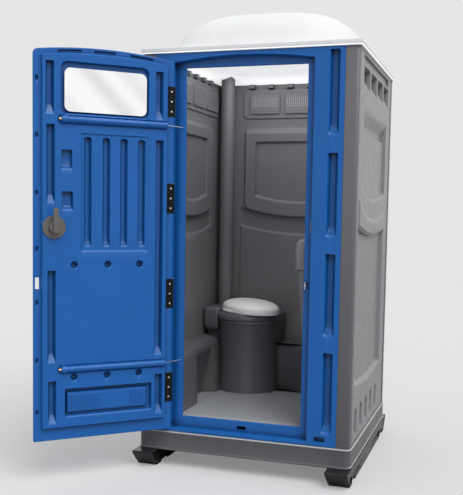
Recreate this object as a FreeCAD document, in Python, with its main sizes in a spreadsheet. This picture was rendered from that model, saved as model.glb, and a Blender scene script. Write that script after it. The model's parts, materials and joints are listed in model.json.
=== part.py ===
import FreeCAD, Part
import math
import os
from types import SimpleNamespace

# Portable toilet cabin. Millimetres; +X is right seen from the door, +Y is back, +Z is up.
# The origin is on the ground, at the centre of the cabin's footprint. The door stands open
# at its rest angle, the seat and its lid are down and the lock is free.

SIZES = {
    # cabin
    "cabin_width": 1100,
    "cabin_depth": 1130,
    "wall_height": 1920,
    "skin": 4,
    "gap": 2,
    "seam": 0.5,
    "running_gap": 0.05,
    # skids
    "skid_width": 110,
    "skid_height": 85,
    "skid_taper": 9,
    "skid_overhang": 80,
    "skid_bevel": 75,
    "strap_notch_start": 130,
    "strap_notch_length": 100,
    "strap_notch_depth": 30,
    "anchor_hole_radius": 8,
    "anchor_hole_inset": 40,
    "deck_hole_radius": 7,
    "deck_hole_row": 330,
    "deck_hole_depth": 55,
    # base and floor
    "base_height": 100,
    "base_overhang": 8,
    "floor_rise": 65,
    "floor_thickness": 6,
    "fairing_foot": 118,
    "fairing_head": 26,
    "fairing_height": 290,
    # corner posts and walls
    "post_width": 68,
    "post_depth": 50,
    "post_round": 22,
    "wall_thickness": 45,
    "wall_setback": 3,
    "vent_drop": 179,
    "vent_rise": 108,
    "vent_span": 182,
    "vent_pitch": 219,
    "screen_thickness": 3,
    "screen_slot": 10,
    # roof
    "lip_height": 30,
    "lip_overhang": 9,
    "shoulder_rise": 37,
    "shoulder_inset": 58,
    "dome_rise": 178,
    "plateau_half": 212,
    "roof_skin": 4,
    "roof_bolt_radius": 7,
    "bolt_end_space": 60,
    # front frame
    "hinge_jamb": 98,
    "lock_jamb": 148.5,
    "hinge_stop": 54,
    "lock_stop": 38,
    "sill_step": 12,
    "head_height": 70,
    "rebate_depth": 36,
    "rebate_gap": 2.5,
    "arch_rise": 27,
    "groove_width": 46,
    "groove_offset": 51,
    "groove_depth": 12,
    "groove_count": 4,
    "groove_foot": 93,
    "groove_head": 16,
    "groove_land": 117,
    "notch_width": 34,
    "notch_margin": 9,
    # door
    "hinge_stand": 6,
    "open_angle": 136,
    "door_edge": 7,
    "door_foot": 22,
    "door_head": 48,
    "door_skin": 6,
    "body_hinge_side": 42,
    "free_flange": 33,
    "foot_flange": 59,
    "head_flange": 25,
    "body_rise": 22,
    "mirror_left": 160,
    "mirror_margin": 142,
    "mirror_height": 204,
    "mirror_drop": 76,
    "mirror_round": 30,
    "mirror_thickness": 3,
    "grille_left": 147,
    "grille_right_margin": 156,
    "grille_lift": 136,
    "grille_height": 97,
    "grille_thickness": 5,
    "grille_margin": 12,
    "grille_slot": 8,
    "short_field": 31,
    "short_field_slots": 4,
    "long_field": 253,
    "louvre_count": 4,
    "field_height": 60,
    "tube_radius": 19,
    "tube_bore": 7,
    "tube_floor": 1,
    "upper_tube_drop": 317,
    "lower_tube_lift": 348,
    "tube_start": 54,
    "tube_margin": 129,
    "closer_screw": 30,
    "cord_radius": 2,
    "cord_clearance": 1.5,
    # hinges
    "hinge_count": 4,
    "hinge_foot": 217,
    "hinge_head": 196,
    "hinge_length": 148,
    "knuckle_radius": 6,
    "knuckle_cut": 0.25,
    "hinge_pin_radius": 3,
    "leaf_thickness": 3,
    "leaf_width": 37,
    "screw_head_radius": 4.5,
    "screw_head_height": 2,
    # lock
    "lock_margin": 93,
    "lock_lift": 1028,
    "lock_boss_radius": 55,
    "lock_boss_height": 9,
    "spindle_radius": 8,
    "knob_radius": 27,
    "knob_height": 26,
    "lever_length": 92,
    "lever_width": 24,
    "lever_thickness": 12,
    "lever_round": 11,
    "cam_length": 40,
    "indicator_radius": 36,
    "indicator_lip": 4,
    "window_low": 12,
    "window_high": 29,
    "bolt_height": 14,
    "bolt_thickness": 10,
    "bolt_length": 90,
    "bolt_lift": 20,
    "bolt_setback": 4,
    "keeper_thickness": 1.5,
    "keeper_depth": 22,
    # padlock staple and its slot
    "catch_margin": 18,
    "catch_drop": 265,
    "catch_slot_width": 14,
    "catch_slot_height": 50,
    "liner": 2,
    "staple_proud": 10,
    "staple_thickness": 4,
    "staple_room": 7,
    "staple_eye": 5,
    "staple_eye_inset": 8,
    # pull handle
    "handle_margin": 149,
    "handle_drop": 160,
    "handle_stand": 32,
    "handle_bar": 18,
    "handle_length": 160,
    # tank
    "tank_depth": 283,
    "tank_height": 295,
    "riser_side": 284,
    "riser_back": 203,
    "riser_radius": 196,
    "riser_height": 442,
    "rim_height": 32,
    "rim_lap": 4,
    "deck_depth": 185,
    "mouth_radius": 105,
    # seat and lid
    "seat_forward": 29,
    "seat_lift": 4,
    "seat_half_width": 183,
    "seat_half_length": 160,
    "seat_thickness": 16,
    "seat_hole": 108,
    "seat_pin_back": 59,
    "seat_pin_radius": 4,
    "seat_lug": 14,
    "seat_lug_root": 128,
    "lid_lug_root": 115,
    "bracket_start": 60,
    "bracket_width": 16,
    "lid_rise": 48,
    "lid_skin": 4,
    # vent pipe
    "pipe_side": 56,
    "pipe_back": 49,
    "pipe_radius": 42,
    "pipe_wall": 3,
    "pipe_rise": 60,
    # urinal
    "urinal_place": 165,
    "urinal_width": 240,
    "urinal_reach": 272,
    "urinal_lift": 790,
    "urinal_height": 150,
    "urinal_wall": 5,
    "urinal_round": 45,
    "urinal_step": 15,
    "column_foot": 120,
    "drain_radius": 18,
    "drain_shift": 38,
    "drain_drop": 80,
    "drain_bend": 60,
    # paper holder
    "paper_forward": 172,
    "paper_lift": 610,
    "roll_radius": 55,
    "roll_width": 100,
    "roll_bore": 20,
}


class Size:
    """A length with the sheet expression that it comes from, so that both are worked out together."""

    def __init__(self, value, text):
        self.value = value
        self.text = text

    def __float__(self):
        return float(self.value)

    def __neg__(self):
        return Size(-self.value, f"-({self.text})")

    def __add__(self, other):
        return join(self, "+", other, self.value + number(other))

    def __radd__(self, other):
        return join(other, "+", self, number(other) + self.value)

    def __sub__(self, other):
        return join(self, "-", other, self.value - number(other))

    def __rsub__(self, other):
        return join(other, "-", self, number(other) - self.value)

    def __mul__(self, other):
        return join(self, "*", other, self.value * number(other))

    def __rmul__(self, other):
        return join(other, "*", self, number(other) * self.value)

    def __truediv__(self, other):
        return join(self, "/", other, self.value / number(other))

    def __int__(self):
        return int(self.value)


def number(term):
    return term.value if isinstance(term, Size) else term


def words(term):
    return term.text if isinstance(term, Size) else repr(term)


def join(left, sign, right, value):
    return Size(value, f"({words(left)} {sign} {words(right)})")


doc = FreeCAD.newDocument("toilet_cabin")
sheet = doc.addObject("Spreadsheet::Sheet", "Sizes")
for row, (alias, value) in enumerate(SIZES.items(), start=1):
    sheet.set(f"A{row}", alias)
    sheet.set(f"B{row}", str(value))
    sheet.setAlias(f"B{row}", alias)
doc.recompute()
s = SimpleNamespace(**{alias: Size(float(sheet.get(alias)), f"Sizes.{alias}") for alias in SIZES})

nodes = []


def bind(obj, prop, size):
    """Tie one property to the sheet."""
    obj.setExpression(prop, words(size))


def put(obj, x, y, z):
    for letter, size in (("x", x), ("y", y), ("z", z)):
        bind(obj, f"Placement.Base.{letter}", size)
    return obj


def box(x, y, z):
    """A block between two limits on each axis."""
    obj = doc.addObject("Part::Box", "block")
    bind(obj, "Length", x[1] - x[0])
    bind(obj, "Width", y[1] - y[0])
    bind(obj, "Height", z[1] - z[0])
    return put(obj, x[0], y[0], z[0])


AXIS_TURN = {
    "x": FreeCAD.Rotation(FreeCAD.Vector(0, 1, 0), 90),
    "y": FreeCAD.Rotation(FreeCAD.Vector(1, 0, 0), -90),
    "z": FreeCAD.Rotation(),
}


def cylinder(axis, centre, radius, length):
    """A cylinder that starts at centre and runs length along +axis."""
    obj = doc.addObject("Part::Cylinder", "round")
    obj.Placement = FreeCAD.Placement(FreeCAD.Vector(), AXIS_TURN[axis])
    bind(obj, "Radius", radius)
    bind(obj, "Height", length)
    return put(obj, *centre)


def fuse(*pieces):
    obj = doc.addObject("Part::MultiFuse", "joined")
    obj.Shapes = list(pieces)
    obj.Refine = True
    return obj


def cut(base, *tools):
    obj = doc.addObject("Part::Cut", "cut")
    obj.Base = base
    obj.Tool = tools[0] if len(tools) == 1 else fuse(*tools)
    obj.Refine = True
    return obj


def common(left, right):
    obj = doc.addObject("Part::MultiCommon", "shared")
    obj.Shapes = [left, right]
    return obj


def group(*pieces):
    """Separate solids in one node."""
    obj = doc.addObject("Part::Compound", "group")
    obj.Links = list(pieces)
    return obj


def rounded(obj, radius, chosen):
    """Round the edges that chosen(edge) picks."""
    doc.recompute()
    found = [i for i, edge in enumerate(obj.Shape.Edges, start=1) if chosen(edge)]
    fillet = doc.addObject("Part::Fillet", "rounded")
    fillet.Base = obj
    fillet.Edges = [(i, float(radius), float(radius)) for i in found]
    return fillet


def along(axis):
    """An edge test: straight and parallel to an axis."""

    def chosen(edge):
        if not isinstance(edge.Curve, Part.Line):
            return False
        return abs(getattr(edge.tangentAt(edge.FirstParameter), axis)) > 0.999

    return chosen


def node(label, obj):
    obj.Label = label
    nodes.append(obj)
    return obj


def door_node(label, obj):
    """A piece drawn with the door shut and the hinge axis at its origin, then swung open."""
    turned = doc.addObject("Part::Compound", "on_door")
    turned.Links = [obj]
    turned.Placement = FreeCAD.Placement(FreeCAD.Vector(), FreeCAD.Rotation(FreeCAD.Vector(0, 0, -1), 1))
    turned.setExpression("Placement.Rotation.Angle", s.open_angle.text)
    put(turned, hinge_x, hinge_y, 0)
    return node(label, turned)


# Planes that several pieces share.
zero = Size(0, "0")
half_width = s.cabin_width / 2
half_depth = s.cabin_depth / 2
base_bottom = s.skid_height
base_top = s.skid_height + s.base_height
wall_top = base_top + s.wall_height
floor_top = base_top + s.floor_rise
post_inner = half_width - s.post_width
wall_out = half_width - s.wall_setback
wall_in = wall_out - s.wall_thickness
rear_out = half_depth - s.wall_setback
rear_in = rear_out - s.wall_thickness
side_end = half_depth - s.post_depth
roof_base = wall_top + s.lip_height
front_face = -half_depth
frame_back = front_face + s.post_depth
stop_face = front_face + s.rebate_depth
room_x = wall_in - s.gap
room_y = (frame_back + s.gap, rear_in - s.gap)
room_back = room_y[1]
vent_z = (wall_top - s.vent_drop, wall_top - s.vent_drop + s.vent_rise)

# The doorway: the rebate's two sides, the clear opening and the edges of the door.
rebate_left = s.hinge_jamb - post_inner
rebate_right = post_inner - s.lock_jamb
opening = (rebate_left + s.hinge_stop, rebate_right - s.lock_stop)
opening_z = (floor_top + s.sill_step, wall_top - s.head_height)
hinge_x = rebate_left + s.knuckle_radius
door_width = rebate_right - s.rebate_gap - hinge_x
door_bottom = base_top + s.door_foot
door_side_top = wall_top - s.door_head

# The shut door's planes, from the hinge axis: outer face, flange, raised body and closer tubes.
hinge_y = front_face - s.hinge_stand
outer_face = s.hinge_stand
flange_face = outer_face + 2 * s.door_skin
body_face = flange_face + s.body_rise
tube_y = body_face + s.tube_bore + s.tube_floor
body_x = (s.body_hinge_side, door_width - s.free_flange)
body_z = (door_bottom + s.foot_flange, door_side_top - s.head_flange)
tube_x = (s.tube_start, door_width - s.tube_margin)
tube_heights = (door_side_top - s.upper_tube_drop, door_bottom + s.lower_tube_lift)
mirror_x = (s.mirror_left, door_width - s.mirror_margin)
mirror_z = (door_side_top - s.mirror_drop - s.mirror_height, door_side_top - s.mirror_drop)
grille_x = (s.grille_left, door_width - s.grille_right_margin)
grille_z = (door_bottom + s.grille_lift, door_bottom + s.grille_lift + s.grille_height)

# The lock: the bolt slides just clear of the flange, and the cam swings over it.
indicator_back = outer_face / 2
lock_across = door_width - s.lock_margin
lock_height = door_bottom + s.lock_lift
bolt_local_y = flange_face + s.seam + s.bolt_thickness / 2
bolt_y = hinge_y + bolt_local_y
bolt_z = lock_height + s.bolt_lift
catch_across = door_width - s.catch_margin
catch_height = lock_height - s.catch_drop

# The tank, its round riser and the vent pipe that stands on it.
tank_front = room_back - s.tank_depth
tank_top = floor_top + s.tank_height
riser_x = s.riser_side - room_x
riser_y = room_back - s.riser_back
riser_top = floor_top + s.riser_height
pipe_x = s.pipe_side - room_x
pipe_y = room_back - s.pipe_back

# The seat, the lid and the pins that they share.
seat_y = riser_y - s.seat_forward
seat_pin_y = room_back - s.seat_pin_back
rim_top = riser_top + s.rim_height
seat_bottom = rim_top + s.seat_lift
pin_z = seat_bottom + s.seat_thickness / 2
lid_bottom = seat_bottom + s.seat_thickness + s.gap
seat_lug_start = s.bracket_start + s.bracket_width + s.gap / 2
lid_lug_start = seat_lug_start + s.seat_lug + s.gap / 2
lid_lug_end = lid_lug_start + s.seat_lug

# The urinal, over the fairing on the right, and the paper holder behind it.
urinal_y = frame_back + s.urinal_place
urinal_bottom = floor_top + s.urinal_lift
column_bottom = floor_top + s.fairing_height + s.gap
paper_y = tank_front - s.paper_forward
paper_height = floor_top + s.paper_lift
paper_x = wall_in - s.roll_radius - 3 * s.skin


def frustum(x, y, z, top_x, top_y):
    """A block whose top rectangle has its own limits."""
    obj = doc.addObject("Part::Wedge", "taper")
    obj.Placement = FreeCAD.Placement(FreeCAD.Vector(), FreeCAD.Rotation(FreeCAD.Vector(1, 0, 0), 90))
    # Stood up like this, the wedge's own Z runs along -Y.
    for prop, size in (
        ("Xmin", x[0]),
        ("Xmax", x[1]),
        ("Zmin", -y[1]),
        ("Zmax", -y[0]),
        ("X2min", top_x[0]),
        ("X2max", top_x[1]),
        ("Z2min", -top_y[1]),
        ("Z2max", -top_y[0]),
        ("Ymin", z[0]),
        ("Ymax", z[1]),
    ):
        bind(obj, prop, size)
    return obj


def both(size):
    """The two limits of something centred on zero."""
    return (-size, size)


def around(middle, half):
    return (middle - half, middle + half)


def make_skid(label, side):
    foot = s.skid_taper
    end = half_depth + s.skid_overhang
    centre = side * (half_width - s.skid_width / 2)
    rail = frustum(
        around(centre, s.skid_width / 2 - foot),
        both(end - s.skid_bevel),
        (zero, s.skid_height),
        around(centre, s.skid_width / 2),
        both(end),
    )
    tools = []
    for way in (-1, 1):
        near = way * (end - s.strap_notch_start)
        far = way * (end - s.strap_notch_start - s.strap_notch_length)
        limits = (near, far) if way < 0 else (far, near)
        tools.append(box(around(centre, s.skid_width), limits, (-s.gap, s.strap_notch_depth)))
        hole = (centre, way * (end - s.anchor_hole_inset), -s.gap)
        tools.append(cylinder("z", hole, s.anchor_hole_radius, s.skid_height + 2 * s.gap))
        deck_hole = (centre, way * s.deck_hole_row, -s.gap)
        tools.append(cylinder("z", deck_hole, s.deck_hole_radius, s.deck_hole_depth + s.gap))
    return node(label, cut(rail, *tools))


def make_base_tray():
    floor_under = floor_top - s.floor_thickness
    skirt_x = half_width + s.base_overhang
    skirt_y = half_depth + s.base_overhang
    outer = fuse(
        box(both(skirt_x), both(skirt_y), (base_bottom, base_top)),
        box(both(room_x), room_y, (base_top, floor_under)),
    )
    inner = fuse(
        box(both(skirt_x - s.skin), both(skirt_y - s.skin), (base_bottom + s.skin, base_top - s.skin)),
        box(
            both(room_x - s.skin),
            (room_y[0] + s.skin, room_y[1] - s.skin),
            (base_top - 2 * s.skin, floor_under - s.skin),
        ),
    )
    return node("base_tray", cut(outer, inner))


def make_floor_panel():
    return node("floor_panel", box(both(room_x), room_y, (floor_top - s.floor_thickness, floor_top)))


def make_fairing(label, side):
    """The moulded fairing along the foot of a side wall, open at the bottom where the floor closes it."""
    y = (room_y[0], tank_front - s.gap)
    inner_y = (y[0] + s.skin, y[1] - s.skin)

    def limits(width, inset):
        near = side * (room_x - width)
        far = side * (room_x - inset)
        return (near, far) if side > 0 else (far, near)

    top = floor_top + s.fairing_height
    outer = frustum(limits(s.fairing_foot, 0), y, (floor_top, top), limits(s.fairing_head, 0), y)
    hollow = frustum(
        limits(s.fairing_foot - s.skin, s.skin),
        inner_y,
        (floor_top - s.gap, top - s.skin),
        limits(s.fairing_head - s.skin, s.skin),
        inner_y,
    )
    riser_foot = (riser_x, riser_y, floor_top - s.gap)
    riser_room = cylinder("z", riser_foot, s.riser_radius + s.gap, s.fairing_height + 2 * s.gap)
    return node(label, cut(outer, hollow, riser_room))


def make_post(label, side, end):
    """A hollow corner post, rounded on the cabin's outer corner."""

    def limits(way, inner, outer):
        return (way * inner, way * outer) if way > 0 else (way * outer, way * inner)

    def block(inset, z, radius):
        post = box(
            limits(side, post_inner + inset, half_width - inset),
            limits(end, side_end + inset, half_depth - inset),
            z,
        )

        def corner(edge):
            middle = edge.CenterOfMass
            outside_x = side * middle.x > float(half_width) - float(s.post_width) / 2
            outside_y = end * middle.y > float(half_depth) - float(s.post_depth) / 2
            return along("z")(edge) and outside_x and outside_y

        return rounded(post, radius, corner)

    solid = block(zero, (base_top, wall_top), s.post_round)
    hollow = block(s.skin, (base_top + s.skin, wall_top - s.skin), s.post_round - s.skin)
    return node(label, cut(solid, hollow))


def vent_centres(count):
    """Places of a row of vents, evenly about the middle of a wall."""
    return [(i - (count - 1) / 2) * s.vent_pitch for i in range(count)]


def make_wall(label, across, along_limits, thick_limits, count):
    """A twin-sheet wall: hollow, with a row of vents that go right through. across names its thin axis."""

    def panel(run, thick, z):
        return box(thick, run, z) if across == "x" else box(run, thick, z)

    start, end = along_limits
    low, high = thick_limits
    shell = panel((start, end), (low, high), (base_top, wall_top))
    inner_run = (start + s.skin, end - s.skin)
    hollow = panel(inner_run, (low + s.skin, high - s.skin), (base_top + s.skin, wall_top - s.skin))
    collar_z = (vent_z[0] - s.skin, vent_z[1] + s.skin)
    collars = []
    holes = []
    for centre in vent_centres(count):
        collars.append(panel(around(centre, s.vent_span / 2 + s.skin), (low, high), collar_z))
        holes.append(panel(around(centre, s.vent_span / 2), (low - s.gap, high + s.gap), vent_z))
    return node(label, cut(fuse(cut(shell, hollow), *collars), *holes))


def make_screens(label, across, thick_limits, count):
    """Slotted screens that close a wall's vents, flush with its inner face."""

    def panel(run, thick, z):
        return box(thick, run, z) if across == "x" else box(run, thick, z)

    bar = s.screen_slot
    side_slots = int((s.vent_span / 2 - 2 * bar) / (2 * bar))
    slot_z = (vent_z[0] + bar, vent_z[1] - bar)
    through = (thick_limits[0] - s.gap, thick_limits[1] + s.gap)
    screens = []
    for centre in vent_centres(count):
        slots = []
        for place in range(-side_slots, side_slots + 1):
            slots.append(panel(around(centre + 2 * place * bar, bar / 2), through, slot_z))
        screens.append(cut(panel(around(centre, s.vent_span / 2), thick_limits, vent_z), *slots))
    return node(label, group(*screens))


def make_roof():
    def stack(inset, drop, floor):
        """Lip, shoulder and dome, drawn in by inset and lowered by drop."""
        lip_x = half_width + s.lip_overhang - inset
        lip_y = half_depth + s.lip_overhang - inset
        shoulder_x = lip_x - s.shoulder_inset
        shoulder_y = lip_y - s.shoulder_inset
        shoulder_top = roof_base + s.shoulder_rise - drop
        dome_top = roof_base + s.shoulder_rise + s.dome_rise - drop
        shoulder_z = (roof_base - drop, shoulder_top)
        plateau = both(s.plateau_half - inset)
        return fuse(
            box(both(lip_x), both(lip_y), (floor, roof_base - drop)),
            frustum(both(lip_x), both(lip_y), shoulder_z, both(shoulder_x), both(shoulder_y)),
            frustum(both(shoulder_x), both(shoulder_y), (shoulder_top, dome_top), plateau, plateau),
        )

    outer = stack(zero, zero, wall_top)
    inner = stack(s.roof_skin, s.roof_skin, wall_top + s.roof_skin)
    mouth = box(both(room_x), both(room_y[1]), (wall_top - s.gap, wall_top + 2 * s.roof_skin))
    return node("roof", cut(outer, inner, mouth))


def make_roof_bolts():
    """Bolt heads on the roof's inner flange, over the side walls."""
    heads = []
    z = wall_top + s.roof_skin
    for side in (-1, 1):
        x = side * (wall_in + s.wall_thickness / 2)
        for place in (-1, 0, 1):
            y = place * (side_end - s.bolt_end_space)
            heads.append(cylinder("z", (x, y, z), s.roof_bolt_radius, s.roof_skin))
    return node("roof_bolts", group(*heads))


def arched(x, y, bottom, side_top, rise):
    """A slab whose top edge is an arc that stands rise above its two upper corners."""
    half = (x[1] - x[0]) / 2
    middle = (x[0] + x[1]) / 2
    radius = (half * half + rise * rise) / (2 * rise)
    disc = cylinder("y", (middle, y[0], side_top + rise - radius), radius, y[1] - y[0])
    cap = box(x, y, (side_top - s.skin, side_top + 2 * rise))
    return fuse(box(x, y, (bottom, side_top)), common(disc, cap))


def make_front_frame():
    slab = box(both(post_inner), (front_face, frame_back), (base_top, wall_top))
    doorway = box(opening, (front_face - s.gap, frame_back + s.gap), opening_z)
    rebate = arched(
        (rebate_left, rebate_right),
        (front_face - s.gap, stop_face),
        door_bottom - s.rebate_gap,
        door_side_top + s.rebate_gap,
        s.arch_rise,
    )
    tools = [doorway, rebate]
    hollow_z = (base_top + s.skin, wall_top - s.skin)
    for x, web in (
        ((s.skin - post_inner, rebate_left - s.skin), s.skin),
        ((rebate_right + s.skin, post_inner - s.skin), s.groove_depth + s.skin),
    ):
        tools.append(box(x, (front_face + web, frame_back + s.gap), hollow_z))
    groove_x = around(post_inner - s.groove_offset, s.groove_width / 2)
    groove_room = wall_top - s.groove_head - base_top - s.groove_foot
    groove_pitch = (groove_room + s.groove_land) / s.groove_count
    for place in range(int(s.groove_count)):
        bottom = base_top + s.groove_foot + place * groove_pitch
        depth = (front_face - s.gap, front_face + s.groove_depth)
        tools.append(box(groove_x, depth, (bottom, bottom + groove_pitch - s.groove_land)))
    for height in tube_heights:
        notch = (opening[0] - s.notch_width, opening[0] + s.gap)
        notch_z = around(height, s.tube_radius + s.notch_margin)
        tools.append(box(notch, (front_face + s.skin, frame_back + s.gap), notch_z))
    tools.append(
        box(
            (rebate_right - s.gap, rebate_right + s.keeper_depth),
            around(bolt_y, s.bolt_thickness / 2 + s.gap),
            around(bolt_z, s.bolt_height / 2 + s.gap),
        )
    )
    return node("front_frame", cut(slab, *tools))


def make_bolt_keeper():
    """The slotted plate in the rebate's side that the latch bolt enters."""
    x = (rebate_right - s.keeper_thickness, rebate_right)
    plate = box(x, (front_face + s.skin, stop_face - s.skin), around(bolt_z, s.bolt_height * 2))
    slot = box(
        (x[0] - s.gap, x[1] + s.gap),
        around(bolt_y, s.bolt_thickness / 2 + s.gap),
        around(bolt_z, s.bolt_height / 2 + s.gap),
    )
    return node("bolt_keeper", cut(plate, slot))


def make_staple():
    """The padlock staple that stands out of the stop face and passes through the door's flange."""
    x = hinge_x + catch_across
    tip = front_face - s.staple_proud
    blade_z = around(catch_height, s.catch_slot_height / 2 - s.staple_room)
    blade = box(around(x, s.staple_thickness / 2), (tip, stop_face), blade_z)
    eye = (x - s.staple_thickness, tip + s.staple_eye_inset, catch_height)
    hole = cylinder("x", eye, s.staple_eye, 2 * s.staple_thickness)
    return node("padlock_staple", cut(blade, hole))


def make_closer_anchors():
    """A plate behind each notch in the jamb, where the closer cord is made fast."""
    plates = []
    for height in tube_heights:
        x = (opening[0] - 1.5 * s.notch_width, opening[0] - s.notch_margin / 2)
        z = around(height, s.tube_radius + s.notch_margin)
        plates.append(box(x, (frame_back, frame_back + s.leaf_thickness), z))
    return node("closer_anchors", group(*plates))


FRAME_RINGS = (0, 2, 4)
DOOR_RINGS = (1, 3)
SCREW_ROWS = (-1, 0, 1)


def hinge_heights():
    lowest = door_bottom + s.hinge_foot
    highest = door_side_top - s.hinge_head
    pitch = (highest - lowest) / (s.hinge_count - 1)
    return [lowest + place * pitch for place in range(int(s.hinge_count))]


def ring_heights(bottom, order):
    """The limits of the barrel rings at the places in order, with a saw cut between them."""
    ring = s.hinge_length / (len(FRAME_RINGS) + len(DOOR_RINGS))
    return [(bottom + i * ring + s.knuckle_cut, bottom + (i + 1) * ring - s.knuckle_cut) for i in order]


def knuckles(origin, bottom, order):
    rings = []
    for low, high in ring_heights(bottom, order):
        rings.append(cylinder("z", (origin[0], origin[1], low), s.knuckle_radius, high - low))
    return rings


def hinge_bore(origin, bottom):
    radius = s.hinge_pin_radius + s.running_gap
    return cylinder("z", (origin[0], origin[1], bottom - s.gap), radius, s.hinge_length + 2 * s.gap)


def make_frame_leaf(label, middle):
    """The leaf on the frame's face, with three of the five barrel rings."""
    bottom = middle - s.hinge_length / 2
    edge = hinge_x - s.knuckle_radius
    y = (front_face - s.leaf_thickness, front_face)
    plate = box((edge - s.leaf_width, edge), y, (bottom, bottom + s.hinge_length))
    rings = knuckles((hinge_x, hinge_y), bottom, FRAME_RINGS)
    tabs = [box((edge - s.gap, hinge_x), y, z) for z in ring_heights(bottom, FRAME_RINGS)]
    return node(label, cut(fuse(plate, *rings, *tabs), hinge_bore((hinge_x, hinge_y), bottom)))


def make_door_leaf(label, middle):
    """The leaf that wraps round the door's edge on to its inner flange, with two barrel rings."""
    bottom = middle - s.hinge_length / 2
    z = (bottom, bottom + s.hinge_length)
    web_x = (s.door_edge - s.leaf_thickness, s.door_edge)
    web = box(web_x, (outer_face + s.seam, flange_face + s.leaf_thickness), z)
    plate = box((web_x[0], web_x[0] + s.leaf_width), (flange_face, flange_face + s.leaf_thickness), z)
    tab_y = (s.knuckle_radius / 4, outer_face + 2 * s.seam)
    tabs = [box((zero, s.door_edge), tab_y, tab_z) for tab_z in ring_heights(bottom, DOOR_RINGS)]
    rings = knuckles((zero, zero), bottom, DOOR_RINGS)
    return door_node(label, cut(fuse(web, plate, *rings, *tabs), hinge_bore((zero, zero), bottom)))


def make_hinge_pins():
    """One headed pin down each barrel. The head rests on the frame leaf's top ring."""
    pins = []
    for middle in hinge_heights():
        top = middle + s.hinge_length / 2 - s.knuckle_cut
        shank = cylinder("z", (hinge_x, hinge_y, top - s.hinge_length), s.hinge_pin_radius, s.hinge_length)
        head = cylinder("z", (hinge_x, hinge_y, top), s.knuckle_radius - s.seam, s.screw_head_height)
        pins.append(fuse(shank, head))
    return node("hinge_pins", group(*pins))


def make_frame_screws():
    heads = []
    x = hinge_x - s.knuckle_radius - s.leaf_width / 2
    for middle in hinge_heights():
        for place in SCREW_ROWS:
            z = middle + place * s.hinge_length / 3
            y = front_face - s.leaf_thickness - s.screw_head_height
            heads.append(cylinder("y", (x, y, z), s.screw_head_radius, s.screw_head_height))
    return node("frame_hinge_screws", group(*heads))


def make_door_screws():
    heads = []
    x = s.door_edge - s.leaf_thickness + s.leaf_width / 2
    for middle in hinge_heights():
        for place in SCREW_ROWS:
            z = middle + place * s.hinge_length / 3
            y = flange_face + s.leaf_thickness
            heads.append(cylinder("y", (x, y, z), s.screw_head_radius, s.screw_head_height))
    return door_node("door_hinge_screws", group(*heads))


def spindle_hole(start, end):
    centre = (lock_across, start - s.gap, lock_height)
    return cylinder("y", centre, s.spindle_radius + s.seam, end - start + 2 * s.gap)


def catch_hole(margin):
    return box(
        around(catch_across, s.catch_slot_width / 2 + margin),
        (outer_face - s.gap, body_face),
        around(catch_height, s.catch_slot_height / 2 + margin),
    )


def make_outer_skin():
    """The door's outer sheet, with louvre slots behind the vent grille."""
    sheet_y = (outer_face, outer_face + s.door_skin)
    slab = arched((s.door_edge, door_width), sheet_y, door_bottom, door_side_top, s.arch_rise)
    tools = [spindle_hole(*sheet_y), catch_hole(s.liner)]
    louvre_pitch = s.grille_height / (s.louvre_count + 1)
    for place in range(int(s.louvre_count)):
        low = grille_z[0] + (place + 0.5) * louvre_pitch
        slot_x = (grille_x[0] + s.grille_margin, grille_x[1] - s.grille_margin)
        tools.append(box(slot_x, (sheet_y[0] - s.gap, sheet_y[1] + s.gap), (low, low + s.screen_slot)))
    return door_node("door_outer_skin", cut(slab, *tools))


def mirror_block(clearance, front):
    """The mirror's outline, drawn in by clearance, from its back up to the plane called front."""
    plate = box(
        (mirror_x[0] + clearance, mirror_x[1] - clearance),
        (body_face - s.mirror_thickness, front),
        (mirror_z[0] + clearance, mirror_z[1] - clearance),
    )
    return rounded(plate, s.mirror_round - clearance, along("y"))


def make_inner_skin():
    """The door's inner sheet: a flat flange round a raised hollow body, with the two closer tubes."""
    flange = arched(
        (s.door_edge, door_width),
        (outer_face + s.door_skin, flange_face),
        door_bottom,
        door_side_top,
        s.arch_rise,
    )
    raised = box(body_x, (outer_face + s.door_skin, body_face), body_z)
    hollow = box(
        (body_x[0] + s.door_skin, body_x[1] - s.door_skin),
        (outer_face, body_face - s.door_skin),
        (body_z[0] + s.door_skin, body_z[1] - s.door_skin),
    )
    tubes = []
    bores = []
    length = tube_x[1] - tube_x[0]
    for height in tube_heights:
        round_bar = cylinder("x", (tube_x[0], body_face, height), s.tube_radius, length)
        outside = box(tube_x, (body_face - s.gap, body_face + s.tube_radius), around(height, s.tube_radius))
        tubes.append(common(round_bar, outside))
        bores.append(cylinder("x", (tube_x[0] - s.gap, tube_y, height), s.tube_bore, length + 2 * s.gap))
    grille_hole = box(
        (grille_x[0] + s.grille_margin, grille_x[1] - s.grille_margin),
        (body_face - 2 * s.door_skin, body_face + s.gap),
        (grille_z[0] + s.grille_margin, grille_z[1] - s.grille_margin),
    )
    bolt_hole = box(
        (body_x[1] - 2 * s.door_skin, body_x[1] + s.gap),
        around(bolt_local_y, s.bolt_thickness / 2 + s.seam),
        around(bolt_z, s.bolt_height / 2 + s.seam),
    )
    tools = [hollow, *bores, grille_hole, bolt_hole]
    tools += [spindle_hole(body_face - s.door_skin, body_face), catch_hole(s.liner)]
    tools.append(mirror_block(zero, body_face + s.gap))
    return door_node("door_inner_skin", cut(fuse(flange, raised, *tubes), *tools))


def make_mirror():
    return door_node("door_mirror", mirror_block(s.seam, body_face))


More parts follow.
